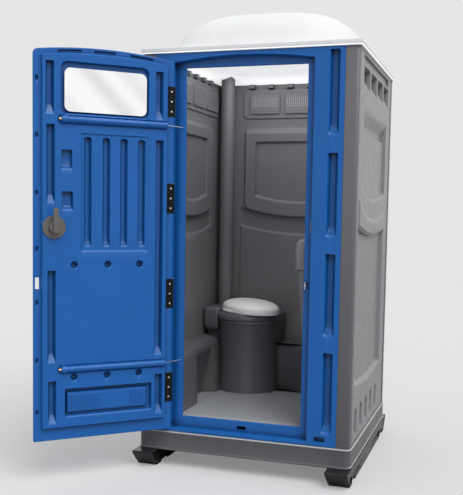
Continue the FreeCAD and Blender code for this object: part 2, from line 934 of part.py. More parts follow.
def make_door_grille():
    """The vent grille on the door's raised body, with a short and a long field of slots."""
    plate = box(grille_x, (body_face, body_face + s.grille_thickness), grille_z)
    slots = []
    pitch = 2 * s.grille_slot
    middle = (grille_z[0] + grille_z[1]) / 2
    long_start = grille_x[0] + s.long_field
    long_slots = int((grille_x[1] - s.grille_slot - long_start) / pitch)
    y = (body_face - s.gap, body_face + s.grille_thickness + s.gap)
    for first, count in ((grille_x[0] + s.short_field, int(s.short_field_slots)), (long_start, long_slots)):
        for place in range(count):
            left = first + place * pitch
            slots.append(box((left, left + s.grille_slot), y, around(middle, s.field_height / 2)))
    return door_node("door_vent_grille", cut(plate, *slots))


def make_lock_boss():
    """The round plate round the lock's spindle on the inside of the door."""
    disc = cylinder("y", (lock_across, body_face, lock_height), s.lock_boss_radius, s.lock_boss_height)
    return door_node("lock_boss", cut(disc, spindle_hole(body_face, body_face + s.lock_boss_height)))


def make_indicator_housing():
    """The cover on the outside of the door, with a window over the occupancy disc."""
    centre = (lock_across, -s.indicator_lip, lock_height)
    cover = cylinder("y", centre, s.indicator_radius + s.indicator_lip, outer_face + s.indicator_lip)
    room = cylinder("y", (lock_across, zero, lock_height), s.indicator_radius + s.seam, outer_face + s.gap)
    window = box(
        around(lock_across, s.indicator_radius / 2),
        (-2 * s.indicator_lip, s.gap),
        (lock_height + s.window_low, lock_height + s.window_high),
    )
    return door_node("indicator_housing", cut(cover, room, window))


def make_spindle():
    """The lock's spindle, through both sheets, with the knob and the cam that drives the bolt."""
    centre = (lock_across, indicator_back, lock_height)
    knob_face = body_face + s.lock_boss_height + s.seam
    shaft = cylinder("y", centre, s.spindle_radius, knob_face - indicator_back + s.knob_height / 2)
    knob = cylinder("y", (lock_across, knob_face, lock_height), s.knob_radius, s.knob_height)
    cam_y = (bolt_local_y + s.bolt_thickness / 2 + s.seam, body_face - s.door_skin - s.seam)
    # The cam leans 45 degrees towards the hinges, and 45 the other way once it is turned.
    cam = box(both(s.spindle_radius / 2), cam_y, (zero, s.cam_length))
    cam.Placement = FreeCAD.Placement(FreeCAD.Vector(), FreeCAD.Rotation(FreeCAD.Vector(0, 1, 0), -45))
    corner = s.spindle_radius / 2 * math.sqrt(0.5)
    put(cam, lock_across - corner, cam_y[0], lock_height - corner)
    return door_node("lock_spindle", fuse(shaft, knob, cam))


def make_lever():
    """The bar on the knob. It points up while the lock is free."""
    knob_top = body_face + s.lock_boss_height + s.seam + s.knob_height
    bar = box(
        around(lock_across, s.lever_width / 2),
        (knob_top, knob_top + s.lever_thickness),
        (lock_height - s.knob_radius, lock_height + s.lever_length),
    )
    return door_node("lock_lever", rounded(bar, s.lever_round, along("y")))


def make_occupancy_disc():
    thick = indicator_back - s.seam
    disc = cylinder("y", (lock_across, s.seam, lock_height), s.indicator_radius, thick)
    return door_node("occupancy_disc", disc)


def make_bolt():
    """The sliding latch bolt, drawn back inside the door's raised body."""
    tip = body_x[1] - s.bolt_setback
    y = around(bolt_local_y, s.bolt_thickness / 2)
    return door_node("latch_bolt", box((tip - s.bolt_length, tip), y, around(bolt_z, s.bolt_height / 2)))


def make_bolt_guide():
    """The open channel inside the door that the bolt slides along."""
    x = (lock_across + s.knob_radius, body_x[1] - 3 * s.door_skin)
    top = bolt_local_y + s.bolt_thickness / 2
    block = box(x, (flange_face - s.door_skin, top), around(bolt_z, s.bolt_height))
    channel = box(
        (x[0] - s.gap, x[1] + s.gap),
        (bolt_local_y - s.bolt_thickness / 2 - s.seam, top + s.gap),
        around(bolt_z, s.bolt_height / 2 + s.seam),
    )
    return door_node("bolt_guide", cut(block, channel))


def make_catch_liner():
    """The pale liner of the slot that the padlock staple comes through."""
    outside = box(
        around(catch_across, s.catch_slot_width / 2 + s.liner),
        (outer_face, flange_face + s.liner / 2),
        around(catch_height, s.catch_slot_height / 2 + s.liner),
    )
    return door_node("catch_slot_liner", cut(outside, catch_hole(zero)))


def make_pull_handle():
    """The upright pull handle on the outside: a bar on two feet."""
    across = around(door_width - s.handle_margin, s.handle_bar / 2)
    middle = lock_height - s.handle_drop
    y = (outer_face - s.handle_stand, outer_face)
    bar_y = (y[0] - s.handle_bar, y[0])
    bar = box(across, bar_y, around(middle, s.handle_length / 2))
    feet = []
    for way in (-1, 1):
        z = around(middle + way * (s.handle_length / 2 - s.handle_bar / 2), s.handle_bar / 2)
        feet.append(box(across, y, z))
    return door_node("pull_handle", group(bar, *feet))


def make_closer_screws():
    """The adjusting screw in the free end of each closer tube."""
    screws = []
    for height in tube_heights:
        start = (tube_x[1] - s.closer_screw, tube_y, height)
        shank = cylinder("x", start, s.tube_bore - s.seam, s.closer_screw)
        head = cylinder("x", (tube_x[1], tube_y, height), s.tube_bore, s.closer_screw / 2)
        screws.append(fuse(shank, head))
    return door_node("closer_screws", group(*screws))


def make_closer_cords():
    """The straight stretch of each closer cord, from its tube's mouth to the anchor plate."""
    turn = math.radians(-float(s.open_angle))
    local_x = float(tube_x[0] - s.cord_clearance)
    local_y = float(tube_y)
    start_x = float(hinge_x) + local_x * math.cos(turn) - local_y * math.sin(turn)
    start_y = float(hinge_y) + local_x * math.sin(turn) + local_y * math.cos(turn)
    end_x = float(opening[0] - s.notch_width / 3)
    end_y = float(frame_back - s.seam)
    cords = []
    for height in tube_heights:
        start = FreeCAD.Vector(start_x, start_y, float(height))
        run = FreeCAD.Vector(end_x, end_y, float(height)) - start
        cords.append(Part.makeCylinder(float(s.cord_radius), run.Length, start, run))
    obj = doc.addObject("Part::Feature", "cords")
    obj.Shape = Part.makeCompound(cords)
    return node("closer_cords", obj)


def make_tank():
    """The holding tank: a low block across the back, the round riser and the deck beside it."""

    def form(inset, floor, block_top, top):
        back = room_y[1] - inset
        side = room_x - s.gap - inset
        return fuse(
            box(both(side), (tank_front + inset, back), (floor, block_top)),
            cylinder("z", (riser_x, riser_y, floor), s.riser_radius - inset, top - floor),
            box((-side, riser_x), (room_back - s.deck_depth + inset, back), (floor, top)),
        )

    outer = form(zero, floor_top, tank_top, riser_top)
    inner = form(s.skin, floor_top + s.skin, tank_top - s.skin, riser_top - s.skin)
    low = riser_top - 2 * s.skin
    mouth = cylinder("z", (riser_x, seat_y, low), s.mouth_radius, 3 * s.skin)
    pipe_hole = cylinder("z", (pipe_x, pipe_y, low), s.pipe_radius - s.pipe_wall, 3 * s.skin)
    return node("waste_tank", cut(outer, inner, mouth, pipe_hole))


def make_rim():
    disc = cylinder("z", (riser_x, riser_y, riser_top), s.riser_radius + s.rim_lap, s.rim_height)
    low = riser_top - s.gap
    mouth = cylinder("z", (riser_x, seat_y, low), s.mouth_radius, s.rim_height + 2 * s.gap)
    return node("riser_rim", cut(disc, mouth))


def make_vent_pipe():
    length = wall_top + s.pipe_rise - riser_top
    tube = cylinder("z", (pipe_x, pipe_y, riser_top), s.pipe_radius, length)
    low = riser_top - s.gap
    bore = cylinder("z", (pipe_x, pipe_y, low), s.pipe_radius - s.pipe_wall, length + 2 * s.gap)
    return node("vent_pipe", cut(tube, bore))


def make_pipe_collar():
    height = 3 * s.skin
    ring = cylinder("z", (pipe_x, pipe_y, riser_top), s.pipe_radius + s.skin, height)
    low = riser_top - s.gap
    bore = cylinder("z", (pipe_x, pipe_y, low), s.pipe_radius + s.running_gap, height + 2 * s.gap)
    return node("pipe_collar", cut(ring, bore))


def oval(centre, half_x, half_y, z, height):
    """An upright oval block, wider along X."""
    curve = doc.addObject("Part::Ellipse", "oval")
    bind(curve, "MajorRadius", half_x)
    bind(curve, "MinorRadius", half_y)
    put(curve, centre[0], centre[1], z)
    obj = doc.addObject("Part::Extrusion", "oval_block")
    obj.Base = curve
    obj.DirMode = "Custom"
    obj.Dir = FreeCAD.Vector(0, 0, 1)
    bind(obj, "LengthFwd", height)
    obj.Solid = True
    return obj


def lug_limits(side, start, end):
    """The two X limits of a hinge piece on one side of the seat's middle."""
    near = riser_x + side * start
    far = riser_x + side * end
    return (near, far) if side > 0 else (far, near)


def pin_hole(side):
    x = lug_limits(side, s.bracket_start - s.gap, lid_lug_end + s.gap)
    return cylinder("x", (x[0], seat_pin_y, pin_z), s.seat_pin_radius + s.running_gap, x[1] - x[0])


def make_seat():
    """The seat ring, with a lug each side that turns on the hinge pins."""
    middle = (riser_x, seat_y)
    z = (seat_bottom, seat_bottom + s.seat_thickness)
    ring = oval(middle, s.seat_half_width, s.seat_half_length, z[0], s.seat_thickness)
    lugs = []
    for side in (-1, 1):
        y = (seat_y + s.seat_lug_root, seat_pin_y + 2 * s.seat_pin_radius)
        lugs.append(box(lug_limits(side, seat_lug_start, seat_lug_start + s.seat_lug), y, z))
    hole = cylinder("z", (middle[0], middle[1], z[0] - s.gap), s.seat_hole, s.seat_thickness + 2 * s.gap)
    return node("toilet_seat", cut(fuse(ring, *lugs), hole, pin_hole(-1), pin_hole(1)))


def dome(inset, z):
    cap = doc.addObject("Part::Ellipsoid", "dome")
    bind(cap, "Radius1", s.lid_rise - inset)
    bind(cap, "Radius2", s.seat_half_width - inset)
    bind(cap, "Radius3", s.seat_half_length - inset)
    # Only the upper half is kept.
    cap.Angle1 = 0
    cap.Angle2 = 90
    return put(cap, riser_x, seat_y, z)


def make_lid():
    """The domed lid. Its lugs reach down outside the seat's to the same pins."""
    bottom = lid_bottom
    lugs = []
    for side in (-1, 1):
        x = lug_limits(side, lid_lug_start, lid_lug_end)
        back = seat_pin_y + 2 * s.seat_pin_radius
        top = bottom + s.seat_lug / 2
        lugs.append(box(x, (seat_y + s.lid_lug_root, back), (bottom, top)))
        lugs.append(box(x, (back - 4 * s.seat_pin_radius, back), (seat_bottom, top)))
    shell = cut(dome(zero, bottom), dome(s.lid_skin, bottom))
    return node("toilet_lid", cut(fuse(shell, *lugs), pin_hole(-1), pin_hole(1)))


def make_seat_hinge():
    """The two brackets on the rim that carry the hinge pins."""
    brackets = []
    for side in (-1, 1):
        x = lug_limits(side, s.bracket_start, s.bracket_start + s.bracket_width)
        y = around(seat_pin_y, 2 * s.seat_pin_radius)
        block = box(x, y, (rim_top, seat_bottom + s.seat_thickness))
        brackets.append(cut(block, pin_hole(side)))
    return node("seat_brackets", group(*brackets))


def make_seat_pins():
    pins = []
    for side in (-1, 1):
        x = lug_limits(side, s.bracket_start, lid_lug_end + s.gap)
        head = lug_limits(side, s.bracket_start - s.gap, s.bracket_start)
        shank = cylinder("x", (x[0], seat_pin_y, pin_z), s.seat_pin_radius, x[1] - x[0])
        cap = cylinder("x", (head[0], seat_pin_y, pin_z), 1.5 * s.seat_pin_radius, head[1] - head[0])
        pins.append(fuse(shank, cap))
    return node("seat_pins", group(*pins))


def make_urinal():
    """The urinal on the right wall: an open basin with a rounded brow over a narrower column."""
    x = (wall_in - s.urinal_reach, wall_in)
    wall = s.urinal_wall
    y = around(urinal_y, s.urinal_width / 2)
    z = (urinal_bottom, urinal_bottom + s.urinal_height)
    bowl = box(x, y, z)

    def brow(edge):
        middle = edge.CenterOfMass
        in_front = middle.x < float(x[0] + s.gap)
        return along("y")(edge) and in_front and middle.z > float(z[1] - s.gap)

    bowl = rounded(bowl, s.urinal_round, brow)
    basin = box(
        (x[0] + s.urinal_round, x[1] - wall),
        around(urinal_y, s.urinal_width / 2 - wall),
        (z[0] + wall, z[1] + s.gap),
    )

    def shaft(inset, low):
        """The column under the basin, which narrows towards its foot, drawn in by inset."""
        foot_x = (x[0] + 3 * s.urinal_step + inset, x[1] - inset)
        head_x = (x[0] + s.urinal_step + inset, x[1] - inset)
        foot_y = around(urinal_y, s.column_foot / 2 - inset)
        head_y = around(urinal_y, s.urinal_width / 2 - s.urinal_step - inset)
        return frustum(foot_x, foot_y, (low, urinal_bottom), head_x, head_y)

    column = shaft(zero, column_bottom)
    hollow = shaft(wall, column_bottom + wall)
    return node("urinal", cut(fuse(bowl, column), basin, hollow))


def make_drain():
    """The drain pipe: down out of the urinal's column, then back into the tank's front."""
    radius = float(s.drain_radius)
    x = float(wall_in - s.urinal_reach / 2 + s.drain_shift)
    top = float(column_bottom)
    y = float(urinal_y)
    low = top - float(s.drain_drop)
    bend = float(s.drain_bend)
    start = FreeCAD.Vector(x, y, top)
    turn_in = FreeCAD.Vector(x, y, low + bend)
    turn_out = FreeCAD.Vector(x, y + bend, low)
    middle = FreeCAD.Vector(x, y + bend * (1 - math.sqrt(0.5)), low + bend * (1 - math.sqrt(0.5)))
    end = FreeCAD.Vector(x, float(tank_front), low)
    path = Part.Wire(
        [
            Part.LineSegment(start, turn_in).toShape(),
            Part.Arc(turn_in, middle, turn_out).toShape(),
            Part.LineSegment(turn_out, end).toShape(),
        ]
    )

    def pipe(r):
        ring = Part.Wire([Part.makeCircle(r, start, FreeCAD.Vector(0, 0, 1))])
        return path.makePipeShell([ring], True, False)

    obj = doc.addObject("Part::Feature", "drain")
    obj.Shape = pipe(radius)
    section = math.pi * radius * radius
    print("drain volume over section times length", obj.Shape.Volume / (section * path.Length))
    return node("urinal_drain_pipe", obj)


def make_paper_holder():
    """The bracket on the right wall, with the drum that the paper roll turns on."""
    plate_x = (wall_in - s.skin, wall_in)
    half = s.roll_width / 2 + s.gap
    plate = box(plate_x, around(paper_y, half + s.skin), around(paper_height, s.roll_radius))
    arms = []
    for y in ((paper_y - half - s.skin, paper_y - half), (paper_y + half, paper_y + half + s.skin)):
        arms.append(box((paper_x - s.roll_bore, plate_x[1]), y, around(paper_height, s.roll_bore)))
    drum = cylinder("y", (paper_x, paper_y - half, paper_height), s.roll_bore - s.running_gap, 2 * half)
    return node("paper_holder", fuse(plate, drum, *arms))


def make_paper_roll():
    start = paper_y - s.roll_width / 2
    roll = cylinder("y", (paper_x, start, paper_height), s.roll_radius, s.roll_width)
    bore = cylinder("y", (paper_x, start - s.gap, paper_height), s.roll_bore, s.roll_width + 2 * s.gap)
    return node("paper_roll", cut(roll, bore))


make_skid("left_skid", -1)
make_skid("right_skid", 1)
make_base_tray()
make_floor_panel()
make_fairing("left_fairing", -1)
make_fairing("right_fairing", 1)
make_post("front_left_post", -1, -1)
make_post("front_right_post", 1, -1)
make_post("rear_left_post", -1, 1)
make_post("rear_right_post", 1, 1)
make_wall("left_wall", "x", both(side_end), (-wall_out, -wall_in), 4)
make_wall("right_wall", "x", both(side_end), (wall_in, wall_out), 4)
make_wall("rear_wall", "y", both(post_inner), (rear_in, rear_out), 3)
make_screens("left_wall_screens", "x", (-wall_in - s.screen_thickness, -wall_in), 4)
make_screens("right_wall_screens", "x", (wall_in, wall_in + s.screen_thickness), 4)
make_screens("rear_wall_screens", "y", (rear_in, rear_in + s.screen_thickness), 3)
make_roof()
make_roof_bolts()
make_front_frame()
make_bolt_keeper()
make_staple()
make_closer_anchors()
for place, middle in enumerate(hinge_heights(), start=1):
    make_frame_leaf(f"frame_hinge_leaf_{place}", middle)
    make_door_leaf(f"door_hinge_leaf_{place}", middle)
make_hinge_pins()
make_frame_screws()
make_door_screws()
make_outer_skin()
make_inner_skin()
make_mirror()
make_door_grille()
make_lock_boss()
make_indicator_housing()
make_spindle()
make_lever()
make_occupancy_disc()
make_bolt()
make_bolt_guide()
make_catch_liner()
make_pull_handle()
make_closer_screws()
make_closer_cords()
make_tank()
make_rim()
make_vent_pipe()
make_pipe_collar()
make_seat()
make_lid()
make_seat_hinge()
make_seat_pins()
make_urinal()
make_drain()
make_paper_holder()
make_paper_roll()

doc.recompute()
for obj in doc.Objects:
    if "Invalid" in obj.State or "Error" in obj.State:
        raise RuntimeError(f"{obj.Name} ({obj.Label}) failed: {obj.State}")

os.makedirs("parts", exist_ok=True)
for piece in nodes:
    if piece.Shape.isNull() or not piece.Shape.isValid() or not piece.Shape.Solids:
        raise RuntimeError(f"{piece.Label} has no valid solid")
for piece in nodes:
    piece.Shape.exportStep(f"parts/{piece.Label}.step")
print(len(nodes), "nodes")
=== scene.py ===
import json
import math

import bmesh
import bpy
import numpy as np
from mathutils import Matrix, Vector


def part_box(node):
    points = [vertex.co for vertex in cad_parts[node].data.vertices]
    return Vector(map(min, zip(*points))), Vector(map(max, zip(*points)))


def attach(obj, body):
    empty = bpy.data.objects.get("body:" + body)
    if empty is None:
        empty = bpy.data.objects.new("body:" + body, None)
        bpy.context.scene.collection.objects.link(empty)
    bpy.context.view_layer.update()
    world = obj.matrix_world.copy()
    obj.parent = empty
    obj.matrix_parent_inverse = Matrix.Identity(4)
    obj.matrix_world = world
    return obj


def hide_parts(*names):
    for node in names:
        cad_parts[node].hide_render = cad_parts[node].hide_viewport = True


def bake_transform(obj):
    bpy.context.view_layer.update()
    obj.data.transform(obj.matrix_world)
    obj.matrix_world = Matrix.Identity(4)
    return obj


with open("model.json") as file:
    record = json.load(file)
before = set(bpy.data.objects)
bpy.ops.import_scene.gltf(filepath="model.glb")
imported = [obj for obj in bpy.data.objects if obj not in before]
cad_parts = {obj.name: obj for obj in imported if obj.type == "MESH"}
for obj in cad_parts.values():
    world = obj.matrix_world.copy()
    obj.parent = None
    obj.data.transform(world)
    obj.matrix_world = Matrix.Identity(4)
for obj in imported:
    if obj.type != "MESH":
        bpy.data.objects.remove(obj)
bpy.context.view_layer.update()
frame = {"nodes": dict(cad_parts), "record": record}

# Shapes are worked out in millimetres, in the cabin's own frame, and turned into metres at the end.
MM = 0.001


def limits(node):
    """Lowest and highest corner of a CAD node, in millimetres."""
    low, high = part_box(node)
    return np.array(low) / MM, np.array(high) / MM


# Camera, at the photograph's viewing angle.

CAMERA_PLACE = (1.2248, -4.4725, 1.3254)
CAMERA_YAW = 0.3184
CAMERA_PITCH = -0.0772
CAMERA_ROLL = 0.0169
FRAME_HEIGHT_PX = 495
FOCAL_PX = 829.4
CENTRE_DROP_PX = 27.5
SENSOR = 36.0


def make_camera():
    data = bpy.data.cameras.new("camera")
    data.sensor_width = SENSOR
    data.lens = FOCAL_PX / FRAME_HEIGHT_PX * SENSOR
    data.shift_y = CENTRE_DROP_PX / FRAME_HEIGHT_PX
    data.clip_end = 200
    camera = bpy.data.objects.new("camera", data)
    bpy.context.scene.collection.objects.link(camera)
    turn = Matrix.Rotation(CAMERA_YAW, 4, "Z")
    tilt = Matrix.Rotation(math.pi / 2 + CAMERA_PITCH, 4, "X")
    roll = Matrix.Rotation(CAMERA_ROLL, 4, "Z")
    camera.matrix_world = Matrix.Translation(CAMERA_PLACE) @ turn @ tilt @ roll
    bpy.context.scene.camera = camera


# Materials.


def fill(node, **values):
    """Set a shader node's inputs by their names."""
    for name, value in values.items():
        node.inputs[name.replace("_", " ")].default_value = value


class Shader:
    """A node tree with a Principled surface, built up a node at a time."""

    def __init__(self, name):
        self.material = bpy.data.materials.new(name)
        self.material.use_nodes = True
        self.tree = self.material.node_tree
        self.surface = self.tree.nodes["Principled BSDF"]
        self.place = self.add("ShaderNodeTexCoord").outputs["Object"]

    def add(self, kind, **values):
        node = self.tree.nodes.new(kind)
        for name, value in values.items():
            setattr(node, name, value)
        return node

    def link(self, source, target):
        self.tree.links.new(source, target)

    def set(self, **values):
        fill(self.surface, **values)

    def noise(self, scale, detail=3.0, stretch=None):
        node = self.add("ShaderNodeTexNoise")
        fill(node, Scale=scale, Detail=detail)
        place = self.place
        if stretch:
            mapping = self.add("ShaderNodeMapping")
            fill(mapping, Scale=stretch)
            self.link(place, mapping.inputs["Vector"])
            place = mapping.outputs["Vector"]
        self.link(place, node.inputs["Vector"])
        return node.outputs["Fac"]

    def between(self, factor, low, high, start=0.3, end=0.7):
        """A number that goes from low to high as factor goes from start to end."""
        node = self.add("ShaderNodeMapRange")
        fill(node, From_Min=start, From_Max=end, To_Min=low, To_Max=high)
        self.link(factor, node.inputs["Value"])
        return node.outputs["Result"]

    def mix(self, factor, first, second):
        node = self.add("ShaderNodeMix", data_type="RGBA")
        self.link(factor, node.inputs["Factor"])
        for slot, colour in (("A", first), ("B", second)):
            socket = [s for s in node.inputs if s.name == slot and s.type == "RGBA"][0]
            if isinstance(colour, tuple):
                socket.default_value = (*colour, 1)
            else:
                self.link(colour, socket)
        return [s for s in node.outputs if s.type == "RGBA"][0]

    def bump(self, factor, strength, distance, onto=None):
        node = self.add("ShaderNodeBump")
        fill(node, Strength=strength, Distance=distance)
        self.link(factor, node.inputs["Height"])
        if onto is not None:
            self.link(onto, node.inputs["Normal"])
        return node.outputs["Normal"]


def shade(colour, amount):
    return tuple(min(1.0, channel * amount) for channel in colour)


MOTTLED = (0.94, 1.06)
DUST = (0.33, 0.31, 0.28)
# How far, in metres, the painted shade in recesses looks for nearby surfaces.
PAINTED_SHADE_REACH = 0.045


def moulded_plastic(name, colour, roughness, grain=0.12, edge=1.25, dust=0.0, sheen=0.4, deep=0.6):
    """Moulded plastic: soft mottling, a fine grain, slow ripples, paler worn edges and painted shade in its
    recesses.
    """
    shader = Shader(name)
    shader.set(Specular_IOR_Level=sheen)
    mottled = shader.mix(shader.noise(6.0, 4.0), shade(colour, MOTTLED[0]), shade(colour, MOTTLED[1]))
    geometry = shader.add("ShaderNodeNewGeometry")
    worn = shader.between(geometry.outputs["Pointiness"], 0.0, 1.0, 0.52, 0.62)
    coloured = shader.mix(worn, mottled, shade(colour, edge))
    if dust:
        streaks = shader.between(shader.noise(9.0, 6.0, (1.0, 1.0, 0.25)), 0.0, dust, 0.45, 0.75)
        coloured = shader.mix(streaks, coloured, DUST)
    # Painted shade: an ambient-occlusion node darkens the colour towards deep times itself in recesses and
    # creases.
    if deep < 1:
        painted_shade = shader.add("ShaderNodeAmbientOcclusion", only_local=True, samples=8)
        fill(painted_shade, Distance=PAINTED_SHADE_REACH)
        open_share = shader.between(painted_shade.outputs["AO"], 0.0, 1.0, 0.4, 0.88)
        coloured = shader.mix(open_share, shade(colour, deep), coloured)
    shader.link(coloured, shader.surface.inputs["Base Color"])
    uneven = shader.between(shader.noise(35.0, 4.0), roughness - 0.06, roughness + 0.08)
    shader.link(uneven, shader.surface.inputs["Roughness"])
    ripples = shader.bump(shader.noise(14.0, 2.0), 0.06, 0.004)
    grained = shader.bump(shader.noise(900.0, 2.0), grain, 0.0004, ripples)
    shader.link(grained, shader.surface.inputs["Normal"])
    return shader


def metal(name, colour, roughness, brushed=0.15):
    shader = Shader(name)
    shader.set(Metallic=1.0)
    shader.link(
        shader.mix(shader.noise(60.0), shade(colour, 0.85), shade(colour, 1.1)),
        shader.surface.inputs["Base Color"],
    )
    uneven = shader.between(shader.noise(220.0, 5.0), roughness - 0.08, roughness + 0.12)
    shader.link(uneven, shader.surface.inputs["Roughness"])
    scratches = shader.bump(shader.noise(700.0, 3.0, (1.0, 1.0, 0.1)), brushed, 0.0003)
    shader.link(scratches, shader.surface.inputs["Normal"])
    return shader


PAINTED_REFLECTION_WAY = (-0.51, -0.49, -0.71)


def mirror_plate():
    """A polished plate whose colour carries painted reflection streaks that slant across it."""
    shader = Shader("mirror_plate")
    shader.set(Metallic=1.0, Roughness=0.06)
    across = shader.add("ShaderNodeVectorMath", operation="DOT_PRODUCT")
    across.inputs[1].default_value = PAINTED_REFLECTION_WAY
    shader.link(shader.place, across.inputs[0])
    # Painted reflection: bands of lighter and darker colour slant across the plate.
    streaks = shader.add("ShaderNodeTexNoise", noise_dimensions="1D")
    fill(streaks, Scale=7.0, Detail=1.0)
    shader.link(across.outputs["Value"], streaks.inputs["W"])
    reflection_share = shader.between(streaks.outputs["Fac"], 0, 1, 0.38, 0.62)
    painted_reflection = shader.mix(reflection_share, (0.80, 0.81, 0.82), (1.0, 1.0, 1.0))
    shader.link(painted_reflection, shader.surface.inputs["Base Color"])
    return shader


# deep sets the painted shade in recesses: the share of the colour left where the surface is most closed in.
PLASTICS = {
    "frame_blue": dict(colour=(0.006, 0.098, 0.350), roughness=0.34, sheen=0.32, deep=0.28),
    "wall_grey": dict(colour=(0.188, 0.186, 0.197), roughness=0.36, deep=0.4),
    "base_grey": dict(colour=(0.098, 0.098, 0.106), roughness=0.38),
    "floor_grey": dict(colour=(0.28, 0.29, 0.315), roughness=0.36, dust=0.25),
    "tank_charcoal": dict(colour=(0.105, 0.105, 0.116), roughness=0.32),
    "seat_white": dict(colour=(0.93, 0.93, 0.93), roughness=0.38, grain=0.0, edge=1.0, deep=1),
    "skid_black": dict(colour=(0.006, 0.006, 0.008), roughness=0.24, grain=0.03),
    "knob_grey": dict(colour=(0.11, 0.103, 0.098), roughness=0.38, grain=0.4),
    "disc_green": dict(colour=(0.04, 0.32, 0.08), roughness=0.25, grain=0.05),
    "hinge_black": dict(colour=(0.0035, 0.0045, 0.0045), roughness=0.4, edge=1.5, sheen=0.15),
    "drain_black": dict(colour=(0.02, 0.02, 0.022), roughness=0.5),
    "paper_white": dict(colour=(0.78, 0.76, 0.72), roughness=0.85, grain=0.6),
    "roof_white": dict(colour=(0.80, 0.81, 0.82), roughness=0.5, grain=0.1, edge=1.0, deep=0.8),
}
METALS = {
    "cord_steel": dict(colour=(0.72, 0.72, 0.72), roughness=0.45, brushed=0.0),
    "bright_steel": dict(colour=(0.66, 0.66, 0.67), roughness=0.3),
    "screw_brass": dict(colour=(0.42, 0.33, 0.19), roughness=0.35),
}


def make_materials():
    """One material for each slot of the record."""
    made = {slot: moulded_plastic(slot, **finish) for slot, finish in PLASTICS.items()}
    made.update({slot: metal(slot, **finish) for slot, finish in METALS.items()})
    made["mirror_plate"] = mirror_plate()
    made["roof_white"].set(Transmission_Weight=0.25, IOR=1.2)
    return {slot: shader.material for slot, shader in made.items()}


# Moulded sheets. A sheet is a height field over u and v, in millimetres, with a front and a back
# side over the same grid, so that it is always one closed body. Its lines stand closer together
# where a relief has an edge.

PLAIN_STEP = 45.0
CURVED_STEP = 6
FINE_STEP = 1.5
NEAREST = 1.2


def smooth(share):
    return share * share * (3 - 2 * share)


